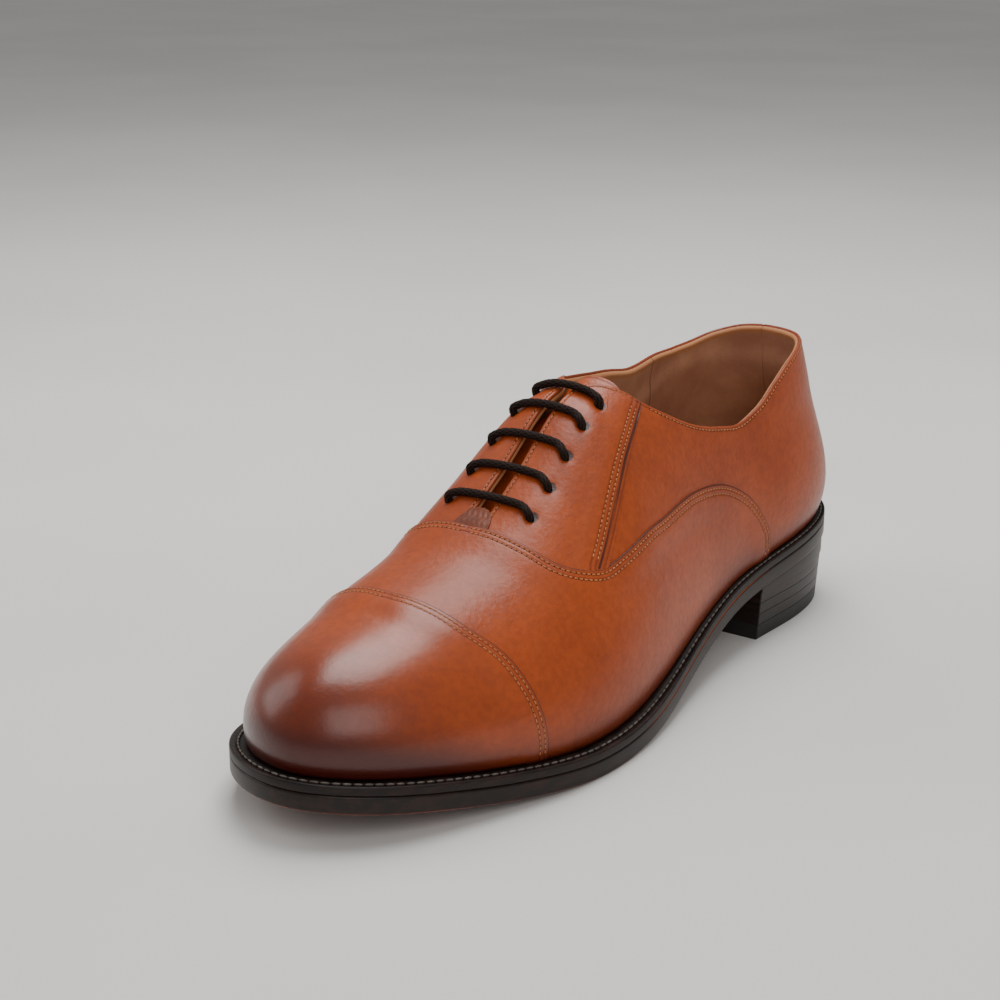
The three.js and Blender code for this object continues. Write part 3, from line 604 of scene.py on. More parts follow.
def facing(side):
    foot = vamp_edge(2, 60)[1]
    a = spaced(48, 1.2, True, True)
    base = sample(a, np.linspace(0, 1, 60), foot)
    base[:, 0] += 0.013 * smooth(0.0, 0.1, a)
    base[:, 1] -= 4 * (1 - smooth(0.5, 1, a))
    hu = mix(SIDE_TOP, FACING_TOP, a)
    r = spaced(60, 1.2, False, True)[None, :]
    u = mix(base[:, :1], hu[:, None], r)
    phi = mix(base[:, 1:], topline[side](hu)[:, None], r)
    skin = Skin((side, u, phi))
    seam = on_upper(side, side_seam(side))
    front = upper(side, np.linspace(0.67, FACING_TOP, 120), FRONT_PHI, UPPER_OUT)
    crown = topline_at(side, np.linspace(FACING_TOP, 0.43, 80))
    d_side = distance(skin.points, seam)
    d_free = distance(skin.points, np.vstack([front, crown[1:]]))
    lap = LAP * 0.85 * (1 - smooth(4, 12, d_side)) * smooth(0, 5, d_free)
    high = UPPER_OUT + lap - roll(d_side, 0.6) - roll(d_free, 0.8)
    hole = np.full(len(skin.points), 99.0)
    for h in HOLE_RIBS:
        middle = upper(side, h, HOLE_PHI, UPPER_OUT)
        hole = np.minimum(hole, np.linalg.norm(skin.points - middle, axis=1))
    high -= 0.6 * np.exp(-((hole / 2.0) ** 2))
    low = mix(UPPER_OUT + 0.05, UPPER_IN, smooth(5.5, 10, d_side)) + roll(d_free, 0.5)
    return skin.solid("facing_calf_" + WORD[side], np.minimum(low, high - 0.2), high,
                      seam=d_side, rim=d_free, tone=tone_of(skin), hole=hole)


def throat_tab():
    """Small gathered piece at the foot of the lacing, tucked under the vamp's edge."""
    t = spaced(12, 0.5)[:, None]
    r = np.linspace(0, 1, 24)[None, :]
    u = mix(0.6365, 0.6605, t) + 0 * r
    phi = mix(90 - 6.2 * np.sqrt(np.maximum(1 - (1 - t) ** 2, 0)), 90, r)
    skin = Skin((OUTER, u, phi), (INNER, u, phi))
    x, y = skin.points[:, 0], skin.points[:, 1]
    pucker = 0.1 * np.sin(3.1 * x + 1.4 * np.sin(1.7 * y)) + 0.07 * np.sin(5.3 * x - 2.2 * y)
    rise = 0.35 * smooth(83, 87, skin.phi)
    tuck = smooth(0.652, 0.6595, skin.u)
    high = UPPER_OUT + 0.35 + (rise + pucker) * (1 - tuck)
    return skin.solid("throat_tab_calf", UPPER_OUT - 0.3, high, tone=0.2)


def tongue(name, trim, base, thick):
    """One layer of the tongue, trimmed back all round by trim millimetres."""
    length = TONGUE_ROOT - TONGUE_TIP
    reach = profile([0, 50], [0.25, 52], [0.75, 63], [1, 66])
    tip, root = TONGUE_TIP + trim / EDGE_RUN, TONGUE_ROOT - trim / EDGE_RUN
    u = mix(tip, root, spaced(80, 1.3))[:, None]
    t = (u - TONGUE_TIP) / length
    r = spaced(24, 1.1, True, False)[None, :]
    bend = 0.02 * (1 - smooth(0, 0.12, t)) * (1 - r) ** 2
    phi = mix(reach(t) + trim, 90, r)
    skin = Skin((OUTER, u + bend, phi), (INNER, u + bend, phi))
    us = np.linspace(TONGUE_TIP + 0.003, 0.69, 160)
    edge = reach((us - TONGUE_TIP) / length) + trim
    head = upper(OUTER, tip, 90, UPPER_OUT)
    d = np.abs(skin.points[:, 1] - head[1])
    for side in SIDES:
        d = np.minimum(d, distance(skin.points, upper(side, us, edge, UPPER_OUT)))
    deep = -(TONGUE_IN + 0.5 + TONGUE_LEATHER) * smooth(0.652, 0.676, skin.u)
    deep += TONGUE_RISE * smooth(0.487, 0.443, skin.u)
    low = base + deep
    high = base + thick + deep - roll(d, 0.6)
    return skin.solid(name, low, np.maximum(high, low + 0.15), "tongue", rim=d, tone=0.1)


def lining_dip(side, u, phi):
    y = rib(side, u)[1]
    heel = smooth(0.3, 0.255, u) * smooth(40, 35.5, phi)
    toe = smooth(0.79, 0.815, u)
    return 0.1 * np.minimum(swell[side](y / UPPER_LENGTH), 0) - LINING_DROP * np.maximum(heel, toe)


def quarter_lining(side):
    u = np.linspace(0, 0.65, 190)[:, None]
    r = spaced(60, 1.6, False, True)[None, :]
    skin = Skin((side, u, r * topline[side](u)))
    d = distance(skin.points, topline_at(side, np.linspace(0, 0.65, 220)))
    dip = lining_dip(side, skin.u, skin.phi)
    high = mix(UPPER_IN + 0.06, dip + LINING, smooth(4, 9, d)) - 0.3 * roll(d, 0.7)
    low = dip + roll(d, 0.6)
    return skin.solid("lining_" + WORD[side], np.minimum(low, high - 0.3), high, rim=d)


# ---- Bottom pieces ----
def rim_line(off):
    sides = [TABLES[s] for s in SIDES]
    lines = [t[::12, :2] + t[::12, 2:] * off(t[::12, 1])[:, None] for t in sides]
    return np.vstack([lines[0], lines[1][::-1][1:]])


def plate(name, stations, wall, closed_front=False):
    """Closed slab across the shoe. wall lists (off, height) rows from the top rim to the bottom."""
    verts, faces = [], []

    def grid(block, flip):
        rows, cols = block.shape[:2]
        f = grid_faces(rows, cols, sum(len(v) for v in verts))
        verts.append(block.reshape(-1, 3))
        faces.extend(f[:, ::-1].tolist() if flip else f.tolist())

    sides = {
        s: np.stack([edge_at(s, stations, off(s, stations), h) for off, h in wall], 1)
        for s in SIDES
    }
    t = 0.5 - 0.5 * np.cos(np.linspace(0, math.pi, 34))

    def across(a, b):
        return a[:, None] + (b - a)[:, None] * t[None, :, None]

    def flat(k):
        p = across(sides[OUTER][:, k], sides[INNER][:, k])
        p[..., 2] = wall[k][1](share_of(p[..., 1]))
        return p

    top, bottom = flat(0), flat(-1)
    grid(top, False)
    grid(bottom, True)
    grid(sides[OUTER], True)
    grid(sides[INNER], False)
    if closed_front:
        front = across(sides[OUTER][-1], sides[INNER][-1])
        front[0], front[-1] = top[-1], bottom[-1]
        grid(front, False)
    pts = np.vstack(verts)
    first, kept = weld(pts, faces)
    pts = pts[first]
    outline = rim_line(lambda y: welt_width(y / UPPER_LENGTH))
    rim_xy = np.stack([outline[:, 0] - CENTRE[0], CENTRE[1] - outline[:, 1]], 1)
    edge = distance(pts[:, :2], rim_xy)
    drop = feather(share_of(pts[:, 1])) - pts[:, 2]
    return as_object(name, pts, kept, "shoe", {"edge": edge, "drop": drop})


def rounded_wall(out, top, low, radius, rows=5):
    """Side of a slab with rolled arrises; out(side, u) is how far it stands out."""
    wall = []
    for height, sign in ((top, -1), (low, 1)):
        for k in range(rows + 1):
            a = math.pi / 2 * (k / rows if sign < 0 else 1 - k / rows)
            back, drop = radius * (1 - math.sin(a)), sign * radius * (1 - math.cos(a))
            wall.append((lambda s, u, back=back: out(s, u) - back,
                         lambda v, height=height, drop=drop: height(v) + drop))
    return wall


def rim_out(side, u):
    return welt_width(rib(OUTER, u)[1] / UPPER_LENGTH)


def outsole():
    wall = rounded_wall(rim_out, raised(-WELT_THICK - 0.05), raised(-SOLE_STACK), 1.0)
    return plate("leather_outsole", np.linspace(0, 1, 261), wall)


def heel_layers():
    """Top piece, lifts from the ground up, and the wedge under the sole."""
    stations = np.linspace(0, BREAST_AT, 90)
    seat = raised(-SOLE_STACK - GAP)
    seat_back = float(seat(0))
    front = float(seat(rib(OUTER, BREAST_AT)[1] / UPPER_LENGTH))
    lift_thick = (front - WEDGE_FRONT - TOP_PIECE) / LIFTS - GAP
    press = 0.13

    def out_at(z):
        return lambda s, u: rim_out(s, u) - 0.4 - HEEL_TAPER * (seat_back - z)

    def layer(name, low, top, radius):
        middle = 0.5 * (low + top)
        wall = []
        level = lambda z: lambda v: z + 0 * v
        for off, h in rounded_wall(out_at(middle), level(top), level(low), radius):
            lean = HEEL_TAPER * (float(h(0)) - middle)
            wall.append((lambda s, u, off=off, lean=lean: off(s, u) + lean, h))
        return plate(name, stations, wall, closed_front=True)

    made = [layer("heel_top_rubber", 0, TOP_PIECE + 0.12, 0.35)]
    for k in range(LIFTS):
        low = TOP_PIECE + GAP + k * (lift_thick + GAP)
        made.append(layer(f"heel_leather_{k + 1}", low - press, low + lift_thick + press, 0.16))
    base = TOP_PIECE + GAP + LIFTS * (lift_thick + GAP)
    wall = rounded_wall(out_at(0.5 * (base + seat_back)), lambda v: seat(v) + 0.22,
                        lambda v: base - press + 0 * v, 0.16)
    made.append(plate("heel_leather_seat", stations, wall, closed_front=True))
    return made


def welt():
    """Strip round the upper with a stitch groove, its rows pressed in between the stitches."""
    half = np.linspace(0, 1, 451)
    loop = [(OUTER, u) for u in half] + [(INNER, u) for u in half[1:-1][::-1]]
    side, u = (np.array(q) for q in zip(*loop))
    width = rim_out(OUTER, u)

    def ring(off, height):
        """Points round the shoe; off and height hold a value for every station."""
        out = np.zeros((len(u), 3))
        for s in SIDES:
            m = side == s
            out[m] = edge_at(s, u[m], off[m], lambda v: feather(v) + height[m])
        return out

    groove = ring(width * GROOVE_AT, 0 * width)
    closed = np.vstack([groove, groove[:1]])
    run = length_along(closed)
    stitches = round(run[-1] / WELT_PITCH)
    pitch = run[-1] / stitches
    press = np.abs(np.sin(math.pi * run[:-1] / pitch))
    rows = [(-5 + 0 * width, 0 * width), (-2.5 + 0 * width, 0 * width)]
    for t in np.linspace(0, 0.86, 16):
        dent = 0.5 * np.exp(-(((t - GROOVE_AT) * width / 0.8) ** 2))
        rows.append((t * width, -dent - 0.14 * (1 - press) * np.exp(-(((t - 0.62) / 0.34) ** 2))))
    for a in np.linspace(0.15, 1, 6) * math.pi / 2:
        rows.append((width - 0.75 + 0.75 * math.sin(a), -0.75 * (1 - math.cos(a)) + 0 * width))
    rows.append((width, -1.8 + 0 * width))
    for a in np.linspace(1, 0, 4) * math.pi / 2:
        drop = -WELT_THICK + 0.4 * (1 - math.cos(a))
        rows.append((width - 0.4 + 0.4 * math.sin(a), drop + 0 * width))
    rows.append((-5 + 0 * width, -WELT_THICK + 0 * width))
    verts = np.stack([ring(off, height) for off, height in rows], 1)
    n, k = verts.shape[:2]
    i, j = (q.ravel() for q in np.meshgrid(np.arange(n), np.arange(k), indexing="ij"))
    i_next, j_next = (i + 1) % n, (j + 1) % k
    faces = np.stack([i * k + j, i_next * k + j, i_next * k + j_next, i * k + j_next], 1)
    across = np.stack([off for off, _ in rows], 1).ravel()
    obj = as_object("stitched_welt", verts.reshape(-1, 3), faces, "shoe", {"across": across})
    at = np.arange(stitches) * pitch
    p, q = sample(at, run, closed), sample(at + 0.3, run, closed)
    return obj, p - [0, 0, 0.12], q - p, np.tile([0, 0, 1.0], (len(p), 1))


# ---- Lace ----
def hole_axis(side, u):
    p = upper(side, u, HOLE_PHI, 1)
    du = upper(side, u + 0.004, HOLE_PHI, 1) - p
    dphi = upper(side, u, HOLE_PHI + 1, 1) - p
    n = np.cross(du, dphi)
    n /= np.linalg.norm(n)
    if n @ (upper(side, u, HOLE_PHI, 2) - p) < 0:
        n = -n
    return p, n


def over_hole(side, u, lift):
    p, n = hole_axis(side, u)
    return p + n * (lift - 1)


def lace_route():
    """Straight bars: one cord from tip to tip, its runs hidden under the facings."""
    bar_lift = UPPER_OUT + 0.35 + LACE_R

    def towards(a, b):
        """The point where the cord has turned from a towards b."""
        return a + (b - a) / np.linalg.norm(b - a) * 1.3

    def under(side, u, phi):
        return upper(side, u, phi, RUN_LIFT - float(smooth(64, 58, phi)))

    def bar(side, u):
        a, b = over_hole(side, u, bar_lift), over_hole(-side, u, bar_lift)
        crown = [upper(side, u, q, bar_lift) for q in (77, 83, 88)]
        crown += [upper(-side, u, q, bar_lift) for q in (88, 83, 77)]
        knots.extend([over_hole(side, u, -0.1), over_hole(side, u, 2.1), towards(a, crown[0])])
        knots.extend(crown)
        knots.extend([towards(b, crown[-1]), over_hole(-side, u, 2.1), over_hole(-side, u, -0.1)])

    first = [under(INNER, *q) for q in ((0.575, 57), (0.55, 58), (0.525, 60), (0.507, 64))]
    last = [under(OUTER, *q) for q in ((0.614, 64), (0.596, 60), (0.57, 58), (0.545, 57))]
    side = INNER
    knots = first + [towards(over_hole(side, HOLE_RIBS[0], RUN_LIFT), first[-1])]
    bar(side, HOLE_RIBS[0])
    for start, end in zip(HOLE_RIBS, HOLE_RIBS[1:]):
        side = -side
        a, b = over_hole(side, start, RUN_LIFT), over_hole(side, end, RUN_LIFT)
        knots += [towards(a, b), under(side, (start + end) / 2, HOLE_PHI), towards(b, a)]
        bar(side, end)
    return knots + [towards(over_hole(-side, HOLE_RIBS[-1], RUN_LIFT), last[0])] + last


def lace(radius, sides=28, step=0.3):
    """The cord as one closed tube, with braided strands raised on it."""
    line = through(lace_route(), 6000)
    length = np.linalg.norm(np.diff(line, axis=0), axis=1).sum()
    line = through(lace_route(), int(length / step))
    tangent = np.gradient(line, axis=0)
    tangent /= np.linalg.norm(tangent, axis=1)[:, None]
    normal = np.zeros_like(line)
    n = np.cross(tangent[0], [0, 0, 1.0])
    for i, t in enumerate(tangent):
        n = n - t * (n @ t)
        n /= np.linalg.norm(n)
        normal[i] = n
    a = np.arange(sides) * 2 * math.pi / sides
    along = np.arange(len(line))[:, None] * (length / len(line))
    twist = 2 * math.pi * along / BRAID_PITCH
    left, right = np.sin(BRAID_STRANDS * a + twist), np.sin(BRAID_STRANDS * a - twist)
    strand = np.maximum(left * np.abs(left), right * np.abs(right))
    fleck = np.sin(BRAID_STRANDS * a) * np.cos(twist)
    r = radius * (0.9 + 0.1 * strand)
    round_it = normal[:, None] * np.cos(a)[None, :, None]
    round_it = round_it + np.cross(tangent, normal)[:, None] * np.sin(a)[None, :, None]
    pts = line[:, None] + round_it * r[..., None]
    m = len(line)
    verts = np.vstack([pts.reshape(-1, 3), line[:1], line[-1:]])
    i, j = np.meshgrid(np.arange(m - 1) * sides, np.arange(sides), indexing="ij")
    k = (j + 1) % sides
    faces = np.stack([i + j, i + k, i + sides + k, i + sides + j], -1).reshape(-1, 4).tolist()
    for j in range(sides):
        k = (j + 1) % sides
        faces.append([m * sides, k, j])
        faces.append([m * sides + 1, (m - 1) * sides + j, (m - 1) * sides + k])
    given = {"strand": np.append(strand, [0, 0]), "fleck": np.append(fleck, [0, 0])}
    return as_object("braided_lace", verts, faces, "shoe", given)


# ---- Stitch rows on the upper ----
def offset_pairs(side, pairs, dist, hint):
    """Move a seam across the leather by dist millimetres towards the hint in (rib share, phi)."""
    u, phi = pairs.T
    p = upper(side, u, phi, UPPER_OUT)
    pu = (upper(side, u + 0.001, phi, UPPER_OUT) - upper(side, u - 0.001, phi, UPPER_OUT)) / 0.002
    hi, lo = np.minimum(phi + 0.5, 90), phi - 0.5
    pp = (upper(side, u, hi, UPPER_OUT) - upper(side, u, lo, UPPER_OUT)) / (hi - lo)[:, None]
    t = np.gradient(p, axis=0)
    n = np.cross(pu, pp)
    n /= np.linalg.norm(n, axis=1)[:, None]
    outward = upper(side, u, phi, UPPER_OUT + 1) - p
    n *= np.sign((n * outward).sum(1))[:, None]
    o = np.cross(n, t)
    o /= np.maximum(np.linalg.norm(o, axis=1), 1e-9)[:, None]
    o *= np.sign((o * (pu * hint[0] + pp * hint[1])).sum(1))[:, None]
    a, b, c = (pu * pu).sum(1), (pu * pp).sum(1), (pp * pp).sum(1)
    f, g = (pu * o).sum(1) * dist, (pp * o).sum(1) * dist
    det = a * c - b * b
    moved = np.stack([u + (c * f - b * g) / det, phi + (a * g - b * f) / det], 1)
    moved[:, 1] = np.minimum(moved[:, 1], 90)
    return moved


def stitch_row(side, seam, dist, hint, layer, lowest=0, fade=False):
    """Places, directions and outward normals for a run of stitches beside a seam.

    fade lowers the last 5 mm to meet a free edge.
    """
    u, phi = offset_pairs(side, seam, dist, hint).T
    u, phi = u[phi > lowest], phi[phi > lowest]
    if fade:
        p = upper(side, u, phi, layer)
        left = np.linalg.norm(p - p[-1], axis=1)
        layer = UPPER_OUT + (layer - UPPER_OUT) * smooth(0, 5, left)
    p, q = upper(side, u, phi, layer), upper(side, u, phi, layer + 1)
    run = length_along(p)
    at = np.arange(STITCH_PITCH / 2, run[-1] - STITCH_PITCH * 0.8, STITCH_PITCH)
    here = sample(at, run, p)
    return here, sample(at + 0.3, run, p) - sample(at - 0.3, run, p), sample(at, run, q) - here


def upper_rows():
    """Two rows beside each seam, one beside each free edge, sunk a little into the leather."""
    rows = []
    sunk = UPPER_OUT - 0.02
    phis = np.linspace(3, 90, 160)
    for side in SIDES:
        cap = np.stack([cap_seam(phis), phis], 1)
        for dist in (ROW_NEAR, ROW_FAR):
            rows.append(stitch_row(side, cap, dist, (1, 0), sunk + LAP))
            rows.append(stitch_row(side, wing_seam(side)[2:], dist, (1, -40), sunk + LAP * 0.9,
                                   lowest=1.5))
            rows.append(stitch_row(side, side_seam(side)[2:-2], dist, (1, 10), sunk + LAP * 0.85,
                                   fade=True))
        for low, high, count, hint in ((0.001, 0.438, 260, (0, -1)), (0.447, 0.4905, 90, (1, -8))):
            us = np.linspace(low, high, count)
            edge = np.stack([us, topline[side](us)], 1)
            rows.append(stitch_row(side, edge, ROW_NEAR, hint, sunk))
        us = np.linspace(0.496, THROAT - 0.006, 120)
        front = np.stack([us, np.full(120, FRONT_PHI)], 1)
        rows.append(stitch_row(side, front, ROW_NEAR, (0, -1), sunk))
    return [np.vstack(q) for q in zip(*rows)]


# ---- Geometry Nodes: one stitch and one needle hole on every point of a row ----
def feed(tree, socket, value):
    """Link a socket or a Value, or write a plain value."""
    if isinstance(value, Value):
        value = value.socket
    if isinstance(value, bpy.types.NodeSocket):
        tree.links.new(value, socket)
    else:
        socket.default_value = value


def add_node(tree, kind, settings=None, **inputs):
    """Inputs go by name, or by i and a number where several share a name."""
    made = tree.nodes.new(kind)
    for key, value in (settings or {}).items():
        setattr(made, key, value)
    for key, value in inputs.items():
        numbered = key[0] == "i" and key[1:].isdigit()
        feed(tree, made.inputs[int(key[1:]) if numbered else key.replace("_", " ")], value)
    return made


def stitch_tree():
    tree = bpy.data.node_groups.new("stitch_row", "GeometryNodeTree")
    face = tree.interface
    face.new_socket("Geometry", in_out="OUTPUT", socket_type="NodeSocketGeometry")
    face.new_socket("Geometry", in_out="INPUT", socket_type="NodeSocketGeometry")
    sockets = {}
    for label in ("Stitch Length", "Thread Thickness", "Needle Hole", "Hole Offset"):
        sockets[label] = face.new_socket(label, in_out="INPUT", socket_type="NodeSocketFloat")
    for label in ("Thread", "Hole Colour"):
        sockets[label] = face.new_socket(label, in_out="INPUT", socket_type="NodeSocketMaterial")

    def node(kind, settings=None, **inputs):
        return add_node(tree, kind, settings, **inputs).outputs[0]

    def scaled(direction, length):
        unit = node("ShaderNodeVectorMath", {"operation": "NORMALIZE"}, i0=direction)
        return node("ShaderNodeVectorMath", {"operation": "SCALE"}, i0=unit, Scale=length)

    put = {s.name: s for s in tree.nodes.new("NodeGroupInput").outputs}
    thick = put["Thread Thickness"]
    along, out = (
        node("GeometryNodeInputNamedAttribute", {"data_type": "FLOAT_VECTOR"}, Name=name)
        for name in ("along", "out")
    )
    first = node("FunctionNodeAlignRotationToVector", {"axis": "X"}, Vector=along)
    turn = node("FunctionNodeAlignRotationToVector", {"axis": "Z", "pivot_axis": "X"},
                Vector=out, Rotation=first)

    def copies(points, rings, width, length, material):
        """A flattened ball on every point, made one mesh with a material."""
        ball = node("GeometryNodeMeshUVSphere", Segments=8, Rings=rings, Radius=0.5)
        if material == "Thread":
            ball = node("GeometryNodeSetShadeSmooth", Geometry=ball)
        size = node("ShaderNodeCombineXYZ", X=length, Y=width, Z=thick)
        placed_balls = node("GeometryNodeInstanceOnPoints", Points=points, Instance=ball,
                            Rotation=turn, Scale=size)
        real = node("GeometryNodeRealizeInstances", Geometry=placed_balls)
        return node("GeometryNodeSetMaterial", Geometry=real, Material=put[material])

    thread = copies(put["Geometry"], 6, thick, put["Stitch Length"], "Thread")
    sink = node("ShaderNodeMath", {"operation": "MULTIPLY"}, i0=thick, i1=-0.43)
    shift = node("ShaderNodeVectorMath", {"operation": "ADD"},
                 i0=scaled(along, put["Hole Offset"]), i1=scaled(out, sink))
    moved = node("GeometryNodeSetPosition", Geometry=put["Geometry"], Offset=shift)
    # the needle holes are dark flattened balls: painted shade of the holes
    holes = copies(moved, 4, put["Needle Hole"], put["Needle Hole"], "Hole Colour")
    joined = tree.nodes.new("GeometryNodeJoinGeometry")
    for part in (holes, thread):
        tree.links.new(part, joined.inputs[0])
    tree.links.new(joined.outputs[0], tree.nodes.new("NodeGroupOutput").inputs[0])
    return tree, {label: s.identifier for label, s in sockets.items()}


def stitched(name, rows, sizes, thread):
    points, along, out = rows
    base = bpy.data.meshes.new(name + "_points")
    base.from_pydata((points / 1000).tolist(), [], [])
    for key, values in (("along", along), ("out", out)):
        at = base.attributes.new(key, "FLOAT_VECTOR", "POINT")
        at.data.foreach_set("vector", np.asarray(values, np.float32).ravel())
    obj = new_object(name, base)
    mod = obj.modifiers.new("stitch_row", "NODES")
    mod.node_group = STITCH_TREE
    for label, value in sizes.items():
        mod[STITCH_INPUTS[label]] = value / 1000
    mod[STITCH_INPUTS["Thread"]] = thread
    mod[STITCH_INPUTS["Hole Colour"]] = needle_hole_shade
    obj.update_tag()
    bpy.context.view_layer.update()
    shaped = obj.evaluated_get(bpy.context.evaluated_depsgraph_get())
    mesh = bpy.data.meshes.new_from_object(shaped)
    obj.modifiers.remove(mod)
    obj.data = mesh
    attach(obj, "shoe")
    return obj


# ---- Materials ----
def srgb(code):
    c = [int(code[k : k + 2], 16) / 255 for k in (0, 2, 4)]
    return [q / 12.92 if q < 0.04045 else ((q + 0.055) / 1.055) ** 2.4 for q in c] + [1]


class Value:
    """A number made by shader nodes that takes ordinary arithmetic."""

    def __init__(self, look, socket):
        self.look, self.socket = look, socket

    def math(self, operation, *others, clamp=False):
        made = self.look.node("ShaderNodeMath", {"operation": operation, "use_clamp": clamp})
        for k, item in enumerate(others):
            feed(self.look.tree, made.inputs[k], item)
        return Value(self.look, made.outputs[0])

    def __add__(self, other):
        return self.math("ADD", self, other)

    def __sub__(self, other):
        return self.math("SUBTRACT", self, other)

    def __rsub__(self, other):
        return self.math("SUBTRACT", other, self)

    def __mul__(self, other):
        return self.math("MULTIPLY", self, other)

    __radd__ = __add__
    __rmul__ = __mul__

    def near(self, at, width):
        """1 at a value, falling to 0 half a width away."""
        away = self - at
        return self.math("SUBTRACT", 1, away.math("ABSOLUTE", away) * (2 / width), clamp=True)

    def between(self, low, high):
        made = self.look.node("ShaderNodeMapRange", {"interpolation_type": "SMOOTHSTEP"},
                              Value=self, From_Min=low, From_Max=high)
        return Value(self.look, made.outputs[0])


class Look:
    """A material built from nodes. Colours are six hexadecimal digits or sockets."""

    def __init__(self, name, **fixed):
        self.material = bpy.data.materials.new(name)
        self.material.use_nodes = True
        self.tree = self.material.node_tree
        self.shader = self.tree.nodes["Principled BSDF"]
        for key, value in fixed.items():
            self.shader.inputs[key.replace("_", " ")].default_value = value
        self.where = self.node("ShaderNodeTexCoord").outputs["Object"]

    def node(self, kind, settings=None, **inputs):
        return add_node(self.tree, kind, settings, **inputs)

    def noise(self, scale, detail, roughness=0.6, stretch=None):
        where = self.where
        if stretch:
            where = self.node("ShaderNodeMapping", Vector=where, Scale=stretch).outputs[0]
        made = self.node("ShaderNodeTexNoise", Vector=where, Scale=scale, Detail=detail,
                         Roughness=roughness)
        return Value(self, made.outputs["Fac"])

    def cells(self, scale, feature="F1"):
        made = self.node("ShaderNodeTexVoronoi", {"feature": feature}, Vector=self.where,
                         Scale=scale)
        return Value(self, made.outputs["Distance"])

    def attributes(self, *names):
        made = [self.node("ShaderNodeAttribute", {"attribute_name": name}) for name in names]
        return [Value(self, node.outputs["Fac"]) for node in made]

    def place(self):
        made = self.node("ShaderNodeSeparateXYZ", Vector=self.where)
        return [Value(self, s) for s in made.outputs]

    def tint(self, factor, *colours):
        a, b = (srgb(c) if isinstance(c, str) else c for c in colours)
        return self.node("ShaderNodeMix", {"data_type": "RGBA"}, i0=factor, i6=a, i7=b).outputs[2]

    def finish(self, colour, roughness, relief, depth, coat=None):
        """Feed the shader; depth is the height of the relief in millimetres."""
        inputs = self.shader.inputs
        feed(self.tree, inputs["Base Color"], colour)
        feed(self.tree, inputs["Roughness"], roughness)
        if coat is not None:
            feed(self.tree, inputs["Coat Weight"], coat)
        bump = self.node("ShaderNodeBump", Height=relief, Distance=depth / 1000, Strength=1.0)
        self.tree.links.new(bump.outputs[0], inputs["Normal"])
        return self.material


def calf(name, light, mid, dark, gloss=0.35, coat=0.12, grain=0.1):
    """Dyed calf, darker where it is burnished at the toe and heel, with painted shade low near the
    welt, along the stitch rows and on cut edges.
    """
    look = Look(name, Coat_Roughness=0.24, IOR=1.45, Specular_IOR_Level=0.38)
    tone, seam, rim_d, hole = look.attributes("tone", "seam", "rim", "hole")
    cloud = look.noise(26, 5, 0.62)
    fine = look.noise(420, 4)
    streak = look.noise(60, 4, 0.6, (1, 0.35, 1.6))
    cut = seam.between(0.9, 0.35) + rim_d.between(0.6, 0.1) * 0.35
    tracks = seam.near(ROW_NEAR, 1.5) + seam.near(ROW_FAR, 1.5) + rim_d.near(ROW_NEAR, 1.5)
    base = look.tint(cloud.between(0.3, 0.72), light, mid)
    base = look.tint(streak.between(0.45, 0.85) * 0.14, base, dark)
    # tone: burnished toe and heel, plus painted shade low near the welt
    base = look.tint((tone + (cloud - 0.5) * 0.2).between(0.06, 1.05), base, dark)
    base = look.tint(fine.between(0.35, 0.65) * 0.16, base, dark)
    base = look.tint(tracks * 0.52, base, dark)
    base = look.tint(cut * 0.88, base, "34130a")
    # near-black disc at each lace hole: painted shade of the hole's opening
    base = look.tint(hole.between(2.5, 1.9) * 0.92, base, "180905")
    roughness = gloss + fine * 0.1 + cut * 0.2 + (cloud - 0.5) * 0.06
    pores, wrinkle = look.cells(1700), look.cells(620, "SMOOTH_F1")
    relief = pores * 0.35 + wrinkle * 0.9 + fine * 0.5 - tracks * (0.16 / grain)
    return look.finish(base, roughness, relief, grain, coat + tone * 0.15 - tracks * 0.1)


def simple(name, light, dark, roughness, scale, depth, coat=0.0, metallic=0.0, shine=0.5):
    """Plain surface with two mottled colours and a fine relief."""
    look = Look(name, Metallic=metallic, Coat_Weight=coat, Specular_IOR_Level=shine)
    mottle, fine = look.noise(scale * 0.12, 4), look.noise(scale, 5)
    base = look.tint((mottle * 0.6 + fine * 0.4).between(0.35, 0.65), light, dark)
    return look.finish(base, roughness + (fine - 0.5) * 0.2, fine, depth)


def edge_leather():
    look = Look("edge_black", Coat_Roughness=0.3, Specular_IOR_Level=0.25)
    fine, wear = look.noise(500, 4, 0.6, (0.25, 0.25, 1.5)), look.noise(90, 4)
    across = look.attributes("across")[0]
    base = look.tint(fine.between(0.4, 0.7), "140c09", "2a1912")
    # darker where the welt meets the upper: painted shade in the crease
    base = look.tint(across.between(1.0, -0.3) * 0.5, base, "0d0705")
    return look.finish(base, 0.4 + fine * 0.2, fine + wear * 0.6, 0.05, 0.03 + wear * 0.1)


